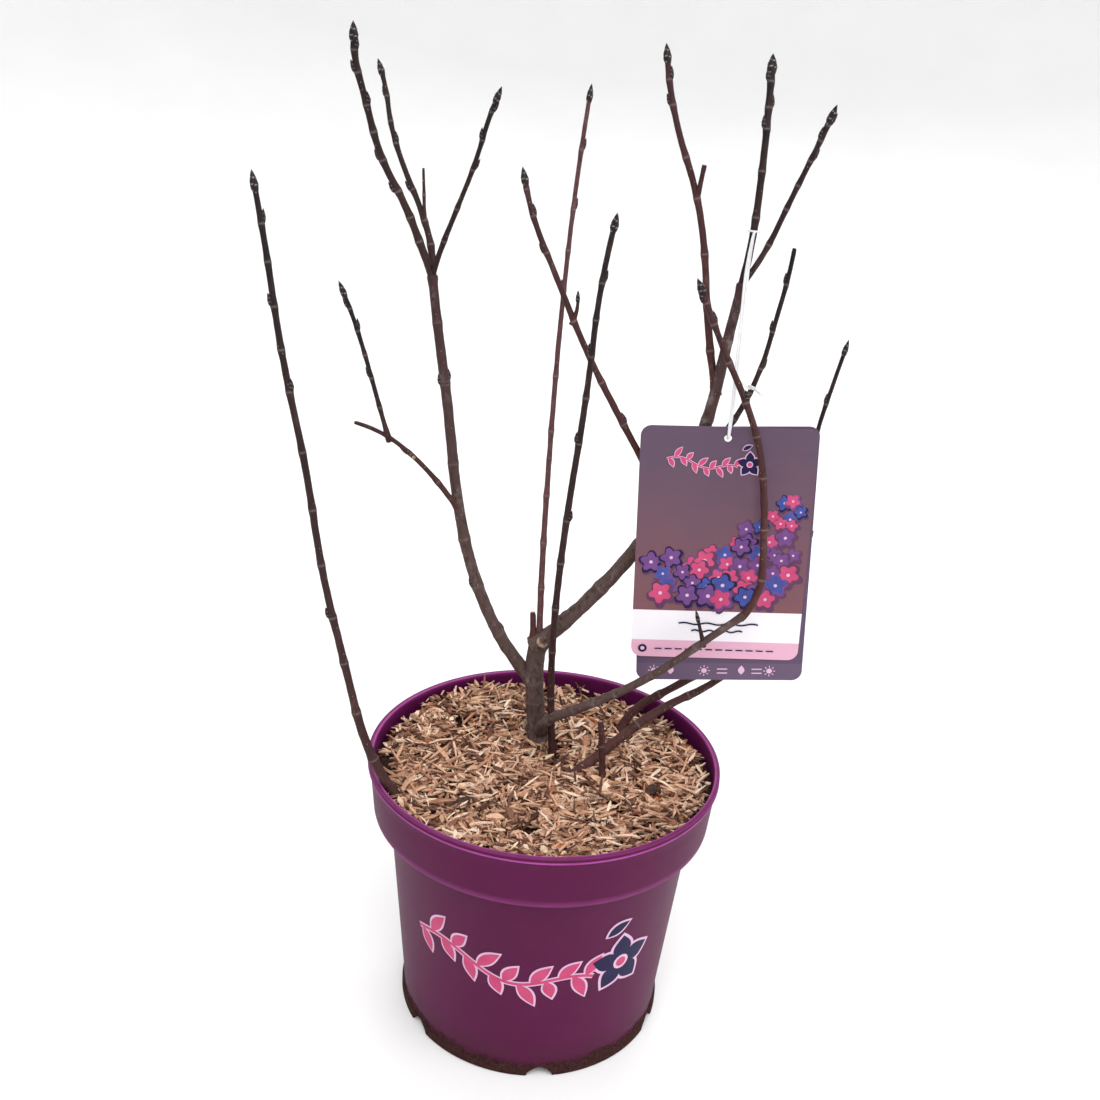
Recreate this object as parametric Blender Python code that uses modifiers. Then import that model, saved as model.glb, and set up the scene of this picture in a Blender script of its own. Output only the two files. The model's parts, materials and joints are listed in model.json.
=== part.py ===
"""Potted saskatoon serviceberry in winter: a bare young shrub with its nursery pot and hang label.

World axes: X to the viewer's right, Y away from the viewer, Z up; the origin is at the middle of the
pot's underside. Sizes and places are in millimetres until a mesh is made.
"""
import math

import bpy
import bmesh
from mathutils import Matrix, Vector

MM = 0.001
CLEAR = 0.3                 # gap that touching pieces keep

# Pot: a turned three-litre nursery container
POT_HEIGHT = 156.0
LIP_RADIUS = 95.3
LIP_HEIGHT = 3.6
COLLAR_TOP_RADIUS = 94.0
COLLAR_FOOT_RADIUS = 91.9
COLLAR_HEIGHT = 30.7
WALL_TOP_RADIUS = 83.0
WALL_FOOT_RADIUS = 73.2
FOOT_RADIUS = 74.5
FOOT_HEIGHT = 6.6
WALL = 1.6
FLOOR = 2.5
DRAIN_SHELF = 9.0           # height of the raised floor ring over the drain notches
NOTCHES = 6
NOTCH_RADIUS = 7.5
NOTCH_RISE = 6.0
FIRST_NOTCH = -83.0         # bearing of the notch nearest the viewer, degrees from +X
NOTCH_REACH = 14.0
POT_SIDES = 48

# Growing medium: fills the pot, with a shallow dish round the stems
MEDIUM_LEVEL = 147.0
DISH_DEPTH = 8.0
DISH_PLACE = (2.0, 25.0)
DISH_SPREAD = 28.0
MEDIUM_RINGS = 8

# Limbs
RING_STEP = 9.0             # length of limb between two rings of its tube
BUD_TIP = 9.0               # length of the bud that ends a growing shoot
SIDE_BUD = 5.0
FLARE_LENGTH = 9.0          # height over which the trunk's foot spreads
FLARE = 0.35
BURIED = 8.0                # length modelled below the flat cut, then cut away

# Hang label: two thin leaves on one hole
LABEL_PLANE = 14.0          # how far behind the pot's axis the front leaf hangs
LABEL_WIDTH = 89.0
FRONT_LEAF_DROP = 128.5
BACK_LEAF_DROP = 142.0
LABEL_CORNER = 5.5
LABEL_THICK = 0.5
LABEL_LEAN = 2.7            # degrees the front leaf hangs out of plumb
BACK_LEAF_LEAN = 4.1
LABEL_TOP_MIDDLE = (80.9, 341.4)
HOLE_RADIUS = 1.9
HOLE_DROP = 6.0
HOLE_ASIDE = -1.0
TIE_RADIUS = 0.6
TIE_ON_LEADER = 0.24        # share of the right leader's length at which the tie goes round it

COLOURS = {
    "pot": ((0.125, 0.022, 0.085, 1), 0.42),
    "medium": ((0.42, 0.27, 0.15, 1), 0.95),
    "bark": ((0.105, 0.07, 0.055, 1), 0.75),
    "twig": ((0.055, 0.022, 0.022, 1), 0.55),
    "label": ((0.33, 0.22, 0.32, 1), 0.3),
    "tie": ((0.82, 0.82, 0.82, 1), 0.4),
}


class Limb:
    """A stem that is steered by its lean at even steps along it.

    lean is degrees to the right of upright and away is degrees away from the viewer. start is a place
    on the ground (x, y), or a parent limb, the share of its length and an offset. thick is the
    diameter at even steps. buds are shares of the length, negative for a bud on the left.
    """

    def __init__(self, start, length, lean, away, thick, buds=(), ends="bud", sides=6, finish="twig"):
        self.start = start
        self.length = length
        self.lean = lean
        self.away = away
        self.thick = thick
        self.buds = buds
        self.ends = ends
        self.sides = sides
        self.finish = finish


LIMBS = {
    # trunk and boughs
    "trunk": Limb((-4.8, 36.0), 67, (-6, -6, 9), (-3,), (11, 10, 10.4), ends="cut", sides=12,
                  finish="bark"),
    "bough_left": Limb(("trunk", 0.58), 233, (-45, -26, -14, -7, -10, -8), (3, 6),
                       (7.8, 6.6, 6.2, 5.6, 5.2, 4.7), ends="cut", sides=10, finish="bark"),
    "bough_right": Limb(("trunk", 0.95), 229, (43, 37, 30, 16, 6, 8), (-6, -3, 0),
                        (8.6, 7.8, 7.2, 6.6, 5.6, 4.4), ends="cut", sides=10, finish="bark"),
    "front_bough_low": Limb(("trunk", 0.15, (3, -4.5, 0)), 152, (-15, 56, 56, 47, 51),
                            (-62, -17, -4, 0, 4), (6.4, 5.4, 4.6, 4.0, 3.8), ends="cut", sides=8,
                            finish="bark"),
    "front_bough_high": Limb(("front_bough_low", 1.0), 180, (35, -4, -6, -11, -23, -30, -26, -26),
                             (4, 2, 2), (3.7, 3.5, 3.2, 2.8), buds=(0.75, -0.86, 0.9)),
    # shoots that stand in the pot
    "centre_shoot": Limb(("trunk", 1.0), 290, (-2, 0, 1, 3, 6), (6, 10), (3.6, 2.9, 2.5, 2.2),
                         buds=(0.36, -0.62, 0.83)),
    "left_shoot": Limb((-74.5, -40.0), 316, (-35, -12, -12, -6, -11, -7, -11), (0, -4, 3),
                       (5.4, 4.0, 3.5, 3.3, 3.0, 2.8), buds=(0.6, -0.66, 0.8, -0.9)),
    "front_shoot": Limb((4.6, 22.4), 308, (-7, -1, 3, 5, 2, 10), (10, -10, -4, -6, -10, -16),
                        (4.2, 3.7, 3.6, 3.3, 2.9, 2.6), buds=(-0.4, 0.56, -0.74, 0.85)),
    "low_stem_outer": Limb((18.6, 1.6), 303, (55, 55, 71, 47, 12, 7, 1, 12, 12), (26, 20, 8, 4),
                           (6.0, 4.8, 3.8, 3.3, 2.9, 2.4, 2.1), buds=(-0.55, 0.7, -0.88), sides=8),
    "low_stem_inner": Limb((41.8, 42.4), 168, (18, 64, 60, 45, 30, 22, 23), (18, 12, 6),
                           (5.0, 4.4, 3.4, 2.4), buds=(-0.6, 0.8), sides=8),
    "cut_stub": Limb((32.0, -7.3), 38, (-3, -8), (-4,), (3.8, 3.2), ends="cut"),
    "knob_stub": Limb(("trunk", 0.97, (-3.0, 0.4, 0)), 17, (-3, -5), (3,), (3.6, 3.2), ends="cut"),
    # twigs of the left crown
    "left_leader": Limb(("bough_left", 1.0), 125, (-22, -21, -30, -14, -15, 8), (-6, -10),
                        (4.2, 3.6, 3.3, 3.0), buds=(0.42, -0.58, 0.9)),
    "left_second": Limb(("bough_left", 1.0), 114, (-1, -21, -29, -23, -10, -26), (24, 14),
                        (3.8, 3.0, 2.6, 2.4), buds=(0.5, 0.84)),
    "left_thin": Limb(("left_second", 0.25), 26, (-4,), (10,), (1.8, 1.4), ends="cut"),
    "left_third": Limb(("bough_left", 1.0), 108, (16, 22, 22, 16, 26), (-20, -26), (3.0, 2.3, 2.2),
                       buds=(0.57, -0.72)),
    # twig low on the left bough
    "side_twig": Limb(("bough_left", 0.467), 80, (-28, -35, -48, -75), (-24, -10), (3.2, 2.5, 2.0),
                      buds=(-0.58,), ends="cut"),
    "side_riser": Limb(("side_twig", 0.767), 87, (-14, -12, -14, -20), (-12, -18), (2.4, 2.2, 2.1),
                       buds=(-0.38, 0.66)),
    # twigs of the right crown
    "right_leader": Limb(("bough_right", 1.0), 105, (9, 2, 0, -1), (4, 14), (3.8, 3.3, 3.2),
                         buds=(-0.68, 0.82)),
    "right_outer": Limb(("bough_right", 1.0), 93, (31, 16, 17, 13), (-12, -22), (3.0, 2.5, 2.4),
                        buds=(0.62, -0.8)),
    "right_inner": Limb(("bough_right", 0.767), 166, (-15, -10, -7, -14, -24, -16, -6), (12, 9),
                        (3.9, 3.5, 3.2, 2.7), buds=(0.56, -0.84)),
    "right_back": Limb(("bough_right", 0.6), 120, (58, 35, 21, 11, 11, 4), (16, 12, 8),
                       (3.4, 2.5, 2.3), buds=(0.42, -0.64, -0.86), ends="cut"),
    "cross_twig": Limb(("bough_right", 0.467), 187, (-26, -33, -31, -26, -27, -11), (4, 4, 16),
                       (3.7, 3.4, 3.0, 2.6), buds=(0.27, 0.79)),
    "cross_spur": Limb(("cross_twig", 0.583), 16, (21, -18), (-10,), (1.8, 1.5)),
    "front_spur": Limb(("front_bough_low", 0.833), 21, (-17, -18), (-8,), (1.9, 1.5)),
}

# Masses: twigs that are joined to one stem, each mass one piece
MASSES = {
    "left_crown_twigs": ("left_leader", "left_second", "left_thin", "left_third"),
    "left_side_twigs": ("side_twig", "side_riser"),
    "right_crown_twigs": ("right_leader", "right_outer"),
    "right_inner_twigs": ("right_inner",),
    "right_back_twigs": ("right_back",),
    "crossing_twigs": ("cross_twig", "cross_spur"),
    "front_spur_twigs": ("front_spur",),
}

# Neighbours that a piece is cut clear of
CUT_CLEAR_OF = {
    "bough_left": ("trunk",),
    "bough_right": ("trunk",),
    "front_bough_low": ("trunk",),
    "front_bough_high": ("front_bough_low",),
    "centre_shoot": ("trunk", "bough_right"),
    "knob_stub": ("trunk", "bough_right", "bough_left", "centre_shoot"),
    "left_crown_twigs": ("bough_left",),
    "left_side_twigs": ("bough_left",),
    "right_crown_twigs": ("bough_right",),
    "right_inner_twigs": ("bough_right",),
    "right_back_twigs": ("bough_right",),
    "crossing_twigs": ("bough_right",),
    "front_spur_twigs": ("front_bough_low",),
}


def between(stations, share):
    """Value at a share of the way along evenly spaced stations."""
    place = share * (len(stations) - 1)
    low = min(int(place), max(len(stations) - 2, 0))
    high = min(low + 1, len(stations) - 1)
    return stations[low] + (stations[high] - stations[low]) * (place - low)


def heading(limb, share):
    lean = math.radians(between(limb.lean, share))
    away = math.radians(between(limb.away, share))
    return Vector((math.sin(lean) * math.cos(away), math.sin(away), math.cos(lean) * math.cos(away)))


def ground(x, y):
    """Height of the growing medium's surface."""
    from_dish = math.hypot(x - DISH_PLACE[0], y - DISH_PLACE[1])
    return MEDIUM_LEVEL - DISH_DEPTH * math.exp(-(from_dish / DISH_SPREAD) ** 2 / 2)


def ground_cut(limb):
    """Level of the flat cut under a stem: clear of the medium all round its foot."""
    x, y = limb.start
    reach = limb.thick[0] * 0.9
    rim = [ground(x + reach * math.cos(turn), y + reach * math.sin(turn))
           for turn in (step * math.pi / 6 for step in range(12))]
    return max(rim) + CLEAR


def limb_start(limb):
    if isinstance(limb.start[0], str):
        parent, share = limb.start[:2]
        offset = Vector(limb.start[2]) if len(limb.start) > 2 else Vector((0, 0, 0))
        return limb_point(LIMBS[parent], share) + offset
    x, y = limb.start
    return Vector((x, y, ground_cut(limb)))


def limb_point(limb, share, steps=60):
    """Place on the limb's centre line, found by walking along its headings."""
    place = limb_start(limb)
    pace = limb.length * share / steps
    for step in range(steps):
        place = place + heading(limb, share * (step + 0.5) / steps) * pace
    return place


def bud_profile(length, full):
    """Rings of a terminal bud: distance back from its tip, and radius."""
    return [(length, full), (length * 0.82, full * 1.22), (length * 0.55, full * 1.38),
            (length * 0.28, full * 0.98), (0.0, full * 0.16)]


def limb_rings(limb, swell=0.0):
    """Centres and radii of the limb's tube, foot first."""
    grows = limb.ends == "bud"
    bud = min(BUD_TIP, limb.length * 0.4) if grows else 0.0
    straight = limb.length - bud
    steps = max(2, round(straight / RING_STEP))
    count = steps if grows else steps + 1
    shares = [straight * step / steps / limb.length for step in range(count)]
    rings = [(share, between(limb.thick, share) / 2) for share in shares]
    if grows:
        tip = limb.thick[-1] / 2
        rings += [(1 - back / limb.length, radius) for back, radius in bud_profile(bud, tip)]
    standing = not isinstance(limb.start[0], str)
    centres = [limb_point(limb, share) for share, radius in rings]
    radii = [radius for share, radius in rings]
    if limb is LIMBS["trunk"]:
        for place in (0.35, 0.7):
            share = FLARE_LENGTH * place / limb.length
            centres.insert(1, limb_point(limb, share))
            radii.insert(1, between(limb.thick, share) / 2)
        order = sorted(range(len(centres)), key=lambda ring: centres[ring].z)
        centres = [centres[ring] for ring in order]
        radii = [radii[ring] for ring in order]
        foot = centres[0].z
        radii = [radius * (1 + FLARE * max(0.0, 1 - (centre.z - foot) / FLARE_LENGTH) ** 2)
                 for centre, radius in zip(centres, radii)]
    if standing:
        centres.insert(0, centres[0] - heading(limb, 0) * BURIED)
        radii.insert(0, radii[0])
    if swell:
        radii = [radius + swell for radius in radii]
        centres[-1] = centres[-1] + heading(limb, 1) * swell
    return centres, radii


def link(obj, collection):
    collection.objects.link(obj)
    return obj


def drop(obj):
    data = obj.data
    bpy.data.objects.remove(obj)
    if isinstance(data, bpy.types.Mesh):
        bpy.data.meshes.remove(data)
    else:
        bpy.data.curves.remove(data)


def as_mesh(obj, name=None):
    """Swap an object for a plain mesh of its evaluated shape, with loose caps welded."""
    bpy.context.view_layer.update()
    graph = bpy.context.evaluated_depsgraph_get()
    mesh = bpy.data.meshes.new_from_object(obj.evaluated_get(graph), depsgraph=graph)
    shape = bmesh.new()
    shape.from_mesh(mesh)
    bmesh.ops.remove_doubles(shape, verts=shape.verts, dist=0.00001)
    bmesh.ops.recalc_face_normals(shape, faces=shape.faces)
    shape.to_mesh(mesh)
    shape.free()
    name = name or obj.name
    place = obj.matrix_world.copy()
    home = obj.users_collection[0]
    drop(obj)
    solid = link(bpy.data.objects.new(name, mesh), home)
    solid.matrix_world = place
    return solid


def tube(name, centres, radii, sides, collection):
    """A tapering tube through the centres, as a closed mesh."""
    curve = bpy.data.curves.new(name, "CURVE")
    curve.dimensions = "3D"
    curve.bevel_depth = MM
    curve.bevel_resolution = sides // 2 - 2
    curve.use_fill_caps = True
    spline = curve.splines.new("POLY")
    spline.points.add(len(centres) - 1)
    for point, centre, radius in zip(spline.points, centres, radii):
        point.co = (*(centre * MM), 1)
        point.radius = radius
    return as_mesh(link(bpy.data.objects.new(name, curve), collection))


def side_bud_rings(limb, share):
    """Rings of a bud that leans out from the limb's side."""
    along = heading(limb, abs(share))
    right = Vector((0, 1, 0)).cross(along).normalized()
    out = right if share > 0 else -right
    radius = between(limb.thick, abs(share)) / 2
    foot = limb_point(limb, abs(share)) + out * radius * 0.35
    lean = (along + out * 0.55).normalized()
    steps = ((0.0, 0.6), (0.45, 0.95), (0.8, 0.55), (1.0, 0.12))
    centres = [foot + lean * SIDE_BUD * step for step, width in steps]
    return centres, [width * max(radius, 1.1) * 0.85 for step, width in steps]


def boolean(obj, operation, other):
    """Apply one exact Boolean with an object or a collection, and return the plain mesh."""
    cut = obj.modifiers.new("cut", "BOOLEAN")
    cut.operation = operation
    cut.solver = "EXACT"
    if isinstance(other, bpy.types.Collection):
        cut.operand_type = "COLLECTION"
        cut.collection = other
    else:
        cut.object = other
    return as_mesh(obj)


def keep_largest(obj):
    """Drop loose scraps, so that the piece is one body."""
    shape = bmesh.new()
    shape.from_mesh(obj.data)
    left = set(shape.verts)
    bodies = []
    while left:
        stack = [left.pop()]
        body = set(stack)
        while stack:
            for edge in stack.pop().link_edges:
                for vert in edge.verts:
                    if vert in left:
                        left.discard(vert)
                        body.add(vert)
                        stack.append(vert)
        bodies.append(body)
    bodies.sort(key=len)
    scraps = [vert for body in bodies[:-1] for vert in body]
    bmesh.ops.delete(shape, geom=scraps, context="VERTS")
    shape.to_mesh(obj.data)
    shape.free()


def cut_at_ground(obj, level):
    """Cut the piece flat at a level and close the cut."""
    shape = bmesh.new()
    shape.from_mesh(obj.data)
    everything = shape.verts[:] + shape.edges[:] + shape.faces[:]
    found = bmesh.ops.bisect_plane(shape, geom=everything, plane_co=(0, 0, level * MM),
                                   plane_no=(0, 0, 1), clear_inner=True)
    rim = [item for item in found["geom_cut"] if isinstance(item, bmesh.types.BMEdge)]
    bmesh.ops.holes_fill(shape, edges=rim)
    bmesh.ops.recalc_face_normals(shape, faces=shape.faces)
    shape.to_mesh(obj.data)
    shape.free()


def paint(obj, finish):
    colour, roughness = COLOURS[finish]
    material = bpy.data.materials.new(obj.name + "_finish")
    material.use_nodes = True
    shader = material.node_tree.nodes["Principled BSDF"]
    shader.inputs["Base Color"].default_value = colour
    shader.inputs["Roughness"].default_value = roughness
    shader.inputs["Metallic"].default_value = 0.0
    obj.data.materials.clear()
    obj.data.materials.append(material)


def smooth(obj, angle=35.0):
    obj.data.shade_smooth()
    obj.data.set_sharp_from_angle(angle=math.radians(angle))


def turned(name, profile, sides, collection):
    """A body of revolution: the profile runs down its outer side."""
    mesh = bpy.data.meshes.new(name)
    points = [(radius * MM, 0, height * MM) for radius, height in profile]
    mesh.from_pydata(points, [(step, step + 1) for step in range(len(points) - 1)], [])
    obj = link(bpy.data.objects.new(name, mesh), collection)
    screw = obj.modifiers.new("turn", "SCREW")
    screw.axis = "Z"
    screw.steps = sides
    screw.render_steps = sides
    screw.use_merge_vertices = True
    screw.merge_threshold = 0.00001
    return as_mesh(obj)


def inner_wall(height):
    """Radius of the pot's inside at a height above the drain shelf."""
    collar_foot = POT_HEIGHT - COLLAR_HEIGHT
    if height >= collar_foot:
        share = (height - collar_foot) / (COLLAR_HEIGHT - LIP_HEIGHT)
        outside = COLLAR_FOOT_RADIUS + (COLLAR_TOP_RADIUS - COLLAR_FOOT_RADIUS) * min(share, 1)
    else:
        share = (height - FOOT_HEIGHT) / (collar_foot - FOOT_HEIGHT)
        outside = WALL_FOOT_RADIUS + (WALL_TOP_RADIUS - WALL_FOOT_RADIUS) * share
    return outside - WALL


def make_pot(collection, cutters):
    collar_foot = POT_HEIGHT - COLLAR_HEIGHT
    shoulder = collar_foot - WALL
    shelf_edge = FOOT_RADIUS - NOTCH_REACH
    inside = [
        (0, FLOOR), (shelf_edge - 7, FLOOR), (shelf_edge, DRAIN_SHELF),
        (inner_wall(DRAIN_SHELF), DRAIN_SHELF), (WALL_TOP_RADIUS - WALL, collar_foot),
        (inner_wall(collar_foot), collar_foot), (COLLAR_TOP_RADIUS - WALL, POT_HEIGHT - 0.7),
        (COLLAR_TOP_RADIUS - WALL + 0.5, POT_HEIGHT),
    ]
    lip = [
        (LIP_RADIUS - 0.6, POT_HEIGHT), (LIP_RADIUS, POT_HEIGHT - 0.6),
        (LIP_RADIUS, POT_HEIGHT - LIP_HEIGHT + 0.4), (COLLAR_TOP_RADIUS, POT_HEIGHT - LIP_HEIGHT),
    ]
    outside = [
        (COLLAR_FOOT_RADIUS, collar_foot + 1.4), (COLLAR_FOOT_RADIUS - 0.8, collar_foot - 0.6),
        (WALL_TOP_RADIUS + 1.5, shoulder), (WALL_TOP_RADIUS, shoulder - 1.2),
        (WALL_FOOT_RADIUS + 1.0, FOOT_HEIGHT + 14), (WALL_FOOT_RADIUS, FOOT_HEIGHT + 3),
        (WALL_FOOT_RADIUS + 0.2, FOOT_HEIGHT), (FOOT_RADIUS, FOOT_HEIGHT - 1.5),
        (FOOT_RADIUS, 0.6), (FOOT_RADIUS - 0.6, 0), (0, 0),
    ]
    pot = turned("pot", inside + lip + outside, POT_SIDES, collection)
    for count in range(NOTCHES):
        bearing = math.radians(FIRST_NOTCH + 360 / NOTCHES * count)
        bpy.ops.mesh.primitive_cylinder_add(vertices=28, radius=NOTCH_RADIUS * MM,
                                            depth=2 * NOTCH_REACH * MM)
        notch = bpy.context.object
        notch.name = f"drain_cut_{count + 1}"
        notch.rotation_euler = (math.pi / 2, 0, bearing + math.pi / 2)
        notch.location = (FOOT_RADIUS * MM * math.cos(bearing), FOOT_RADIUS * MM * math.sin(bearing),
                          (NOTCH_RISE - NOTCH_RADIUS) * MM)
        for home in list(notch.users_collection):
            home.objects.unlink(notch)
        link(notch, cutters)
        notch.hide_render = True
        notch.display_type = "WIRE"
    pot = boolean(pot, "DIFFERENCE", cutters)
    for notch in list(cutters.objects):
        drop(notch)
    paint(pot, "pot")
    smooth(pot)


def make_medium(collection):
    shelf_edge = FOOT_RADIUS - NOTCH_REACH
    collar_foot = POT_HEIGHT - COLLAR_HEIGHT
    edge = inner_wall(MEDIUM_LEVEL) - CLEAR
    top = [(edge * step / MEDIUM_RINGS, MEDIUM_LEVEL) for step in range(MEDIUM_RINGS + 1)]
    side = [
        (inner_wall(collar_foot) - CLEAR, collar_foot + CLEAR),
        (WALL_TOP_RADIUS - WALL - CLEAR, collar_foot + CLEAR),
        (inner_wall(DRAIN_SHELF) - CLEAR, DRAIN_SHELF + CLEAR),
        (shelf_edge - CLEAR * 0.5, DRAIN_SHELF + CLEAR), (shelf_edge - 7 - CLEAR, FLOOR + CLEAR),
        (0, FLOOR + CLEAR),
    ]
    medium = turned("growing_medium", top + side, POT_SIDES, collection)
    for vert in medium.data.vertices:
        if vert.co.z > (MEDIUM_LEVEL - 0.1) * MM:
            vert.co.z = ground(vert.co.x / MM, vert.co.y / MM) * MM
    paint(medium, "medium")
    smooth(medium)


def clear_of_neighbours(obj, collection):
    """Cut the piece back so that it keeps its gap to what carries it."""
    for neighbour in CUT_CLEAR_OF.get(obj.name, ()):
        limb = LIMBS[neighbour]
        centres, radii = limb_rings(limb, swell=CLEAR)
        cutter = tube("cutter_" + neighbour, centres, radii, limb.sides, collection)
        obj = boolean(obj, "DIFFERENCE", cutter)
        drop(cutter)
    keep_largest(obj)
    return obj


def grow(name, members, collection, scraps):
    """One piece from a limb or several: tubes and side buds joined, then cut clear."""
    stem = None
    for member in members:
        limb = LIMBS[member]
        centres, radii = limb_rings(limb)
        pieces = [tube(member, centres, radii, limb.sides, scraps)]
        for share in limb.buds:
            bud_centres, bud_radii = side_bud_rings(limb, share)
            pieces.append(tube(member + "_bud", bud_centres, bud_radii, 6, scraps))
        if stem is None:
            stem = pieces.pop(0)
            scraps.objects.unlink(stem)
            link(stem, collection)
            stem.name = name
    if scraps.objects:
        stem = boolean(stem, "UNION", scraps)
        for piece in list(scraps.objects):
            drop(piece)
    stem = clear_of_neighbours(stem, collection)
    first = LIMBS[members[0]]
    if not isinstance(first.start[0], str):
        cut_at_ground(stem, ground_cut(first))
    paint(stem, first.finish)
    smooth(stem, 60)


def label_frame(lean):
    """Turn and place of a leaf: its own origin is the middle of its top edge."""
    x, z = LABEL_TOP_MIDDLE
    turn = Matrix.Rotation(math.radians(-lean), 4, "Y") @ Matrix.Rotation(math.pi / 2, 4, "X")
    return Matrix.Translation((x * MM, LABEL_PLANE * MM, z * MM)) @ turn


def label_leaf(name, drop_length, lean, behind, collection):
    """A flat leaf with round corners and a hole, from a filled outline."""
    curve = bpy.data.curves.new(name, "CURVE")
    curve.dimensions = "2D"
    curve.fill_mode = "BOTH"
    curve.extrude = LABEL_THICK / 2 * MM
    half = LABEL_WIDTH / 2 - LABEL_CORNER
    outline = []
    corners = ((half, -LABEL_CORNER, 0), (-half, -LABEL_CORNER, 90),
               (-half, LABEL_CORNER - drop_length, 180), (half, LABEL_CORNER - drop_length, 270))
    for x, y, first in corners:
        for step in range(6):
            turn = math.radians(first + 18 * step)
            outline.append((x + LABEL_CORNER * math.cos(turn), y + LABEL_CORNER * math.sin(turn)))
    hole = [(HOLE_ASIDE + HOLE_RADIUS * math.cos(turn), HOLE_RADIUS * math.sin(turn) - HOLE_DROP)
            for turn in (step * math.pi / 8 for step in range(16))]
    for points in (outline, hole):
        spline = curve.splines.new("POLY")
        spline.points.add(len(points) - 1)
        for point, (x, y) in zip(spline.points, points):
            point.co = (x * MM, y * MM, 0, 1)
        spline.use_cyclic_u = True
    leaf = link(bpy.data.objects.new(name, curve), collection)
    leaf.matrix_world = Matrix.Translation((0, behind * MM, 0)) @ label_frame(lean)
    leaf = as_mesh(leaf)
    paint(leaf, "label")


def make_tie(collection, scraps):
    """A cord loop: from the label's hole up to a ring round the right leader."""
    leader = LIMBS["right_leader"]
    ring_middle = limb_point(leader, TIE_ON_LEADER)
    along = heading(leader, TIE_ON_LEADER)
    ring_radius = between(leader.thick, TIE_ON_LEADER) / 2 + CLEAR + TIE_RADIUS
    frame = label_frame(LABEL_LEAN)
    hole = frame @ Vector((HOLE_ASIDE * MM, -HOLE_DROP * MM, 0)) / MM
    front = ring_middle + Vector((0, -ring_radius, 0))
    route = [hole + Vector((0, 3.4, 2.6)), hole + Vector((0, 2.4, 0.3)), hole + Vector((0, 0, 0)),
             hole + Vector((0, -1.6, 0.5)), hole + Vector((0, -1.7, 4)),
             hole.lerp(front, 0.5) + Vector((-0.6, -2.2, 0)), front + Vector((-1.6, -1.9, -14)),
             front + Vector((-0.7, -0.8, -5)), front]
    strand = tube("label_tie", route, [TIE_RADIUS] * len(route), 8, collection)
    bpy.ops.mesh.primitive_torus_add(major_radius=ring_radius * MM, minor_radius=TIE_RADIUS * MM,
                                     major_segments=20, minor_segments=8)
    ring = bpy.context.object
    ring.name = "tie_ring"
    for home in list(ring.users_collection):
        home.objects.unlink(ring)
    link(ring, scraps)
    ring.matrix_world = (Matrix.Translation(ring_middle * MM)
                         @ along.to_track_quat("Z", "Y").to_matrix().to_4x4())
    tie = boolean(strand, "UNION", scraps)
    for piece in list(scraps.objects):
        drop(piece)
    paint(tie, "tie")
    smooth(tie)


def main():
    for obj in list(bpy.data.objects):
        bpy.data.objects.remove(obj)
    scene = bpy.context.scene.collection
    shrub = bpy.data.collections.new("potted_serviceberry")
    cutters = bpy.data.collections.new("cutters")
    scraps = bpy.data.collections.new("joined_pieces")
    for collection in (shrub, cutters, scraps):
        scene.children.link(collection)
    make_pot(shrub, cutters)
    make_medium(shrub)
    massed = {member for members in MASSES.values() for member in members}
    for name in LIMBS:
        if name not in massed:
            grow(name, (name,), shrub, scraps)
    for name, members in MASSES.items():
        grow(name, members, shrub, scraps)
    label_leaf("label_front", FRONT_LEAF_DROP, LABEL_LEAN, 0, shrub)
    label_leaf("label_back", BACK_LEAF_DROP, BACK_LEAF_LEAN, LABEL_THICK + CLEAR, shrub)
    make_tie(shrub, scraps)
    for collection in (cutters, scraps):
        bpy.data.collections.remove(collection)


main()
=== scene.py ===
"""Looks of the potted serviceberry: bark, buds, chips, pot, hang label, light and camera.

World axes are the part's own. Sizes and places are in millimetres until a mesh is made.
"""
import itertools
import json
import math
import random
from dataclasses import dataclass

import bmesh
import bpy
from mathutils import Matrix, Vector, noise

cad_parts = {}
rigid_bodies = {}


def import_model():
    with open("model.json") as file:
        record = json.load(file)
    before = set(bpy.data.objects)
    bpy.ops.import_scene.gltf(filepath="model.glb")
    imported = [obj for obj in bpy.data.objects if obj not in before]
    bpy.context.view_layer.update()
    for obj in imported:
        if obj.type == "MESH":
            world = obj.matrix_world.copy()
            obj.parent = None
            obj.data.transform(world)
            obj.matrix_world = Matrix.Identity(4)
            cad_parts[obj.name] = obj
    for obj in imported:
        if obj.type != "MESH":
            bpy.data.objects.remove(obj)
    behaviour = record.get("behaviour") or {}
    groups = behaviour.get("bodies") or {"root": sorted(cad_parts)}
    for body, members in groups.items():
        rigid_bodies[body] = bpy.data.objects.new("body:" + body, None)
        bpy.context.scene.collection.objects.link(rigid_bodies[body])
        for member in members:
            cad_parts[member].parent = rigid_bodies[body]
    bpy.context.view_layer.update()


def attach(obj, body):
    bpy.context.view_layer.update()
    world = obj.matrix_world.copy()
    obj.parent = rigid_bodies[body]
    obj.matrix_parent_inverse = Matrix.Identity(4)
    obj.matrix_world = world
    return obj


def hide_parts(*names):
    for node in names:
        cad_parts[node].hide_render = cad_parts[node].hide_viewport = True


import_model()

MM = 0.001

# Camera, as the photograph was taken
PHOTO_SIZE = 1100
FOCAL_PIXELS = 1200
SENSOR = 36.0
CAMERA_PLACE = (0.0, -564.2, 503.4)
CAMERA_YAW = -0.008         # radians
CAMERA_PITCH = 22.09        # degrees below the horizon
CAMERA_ROLL = 3.86

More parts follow.
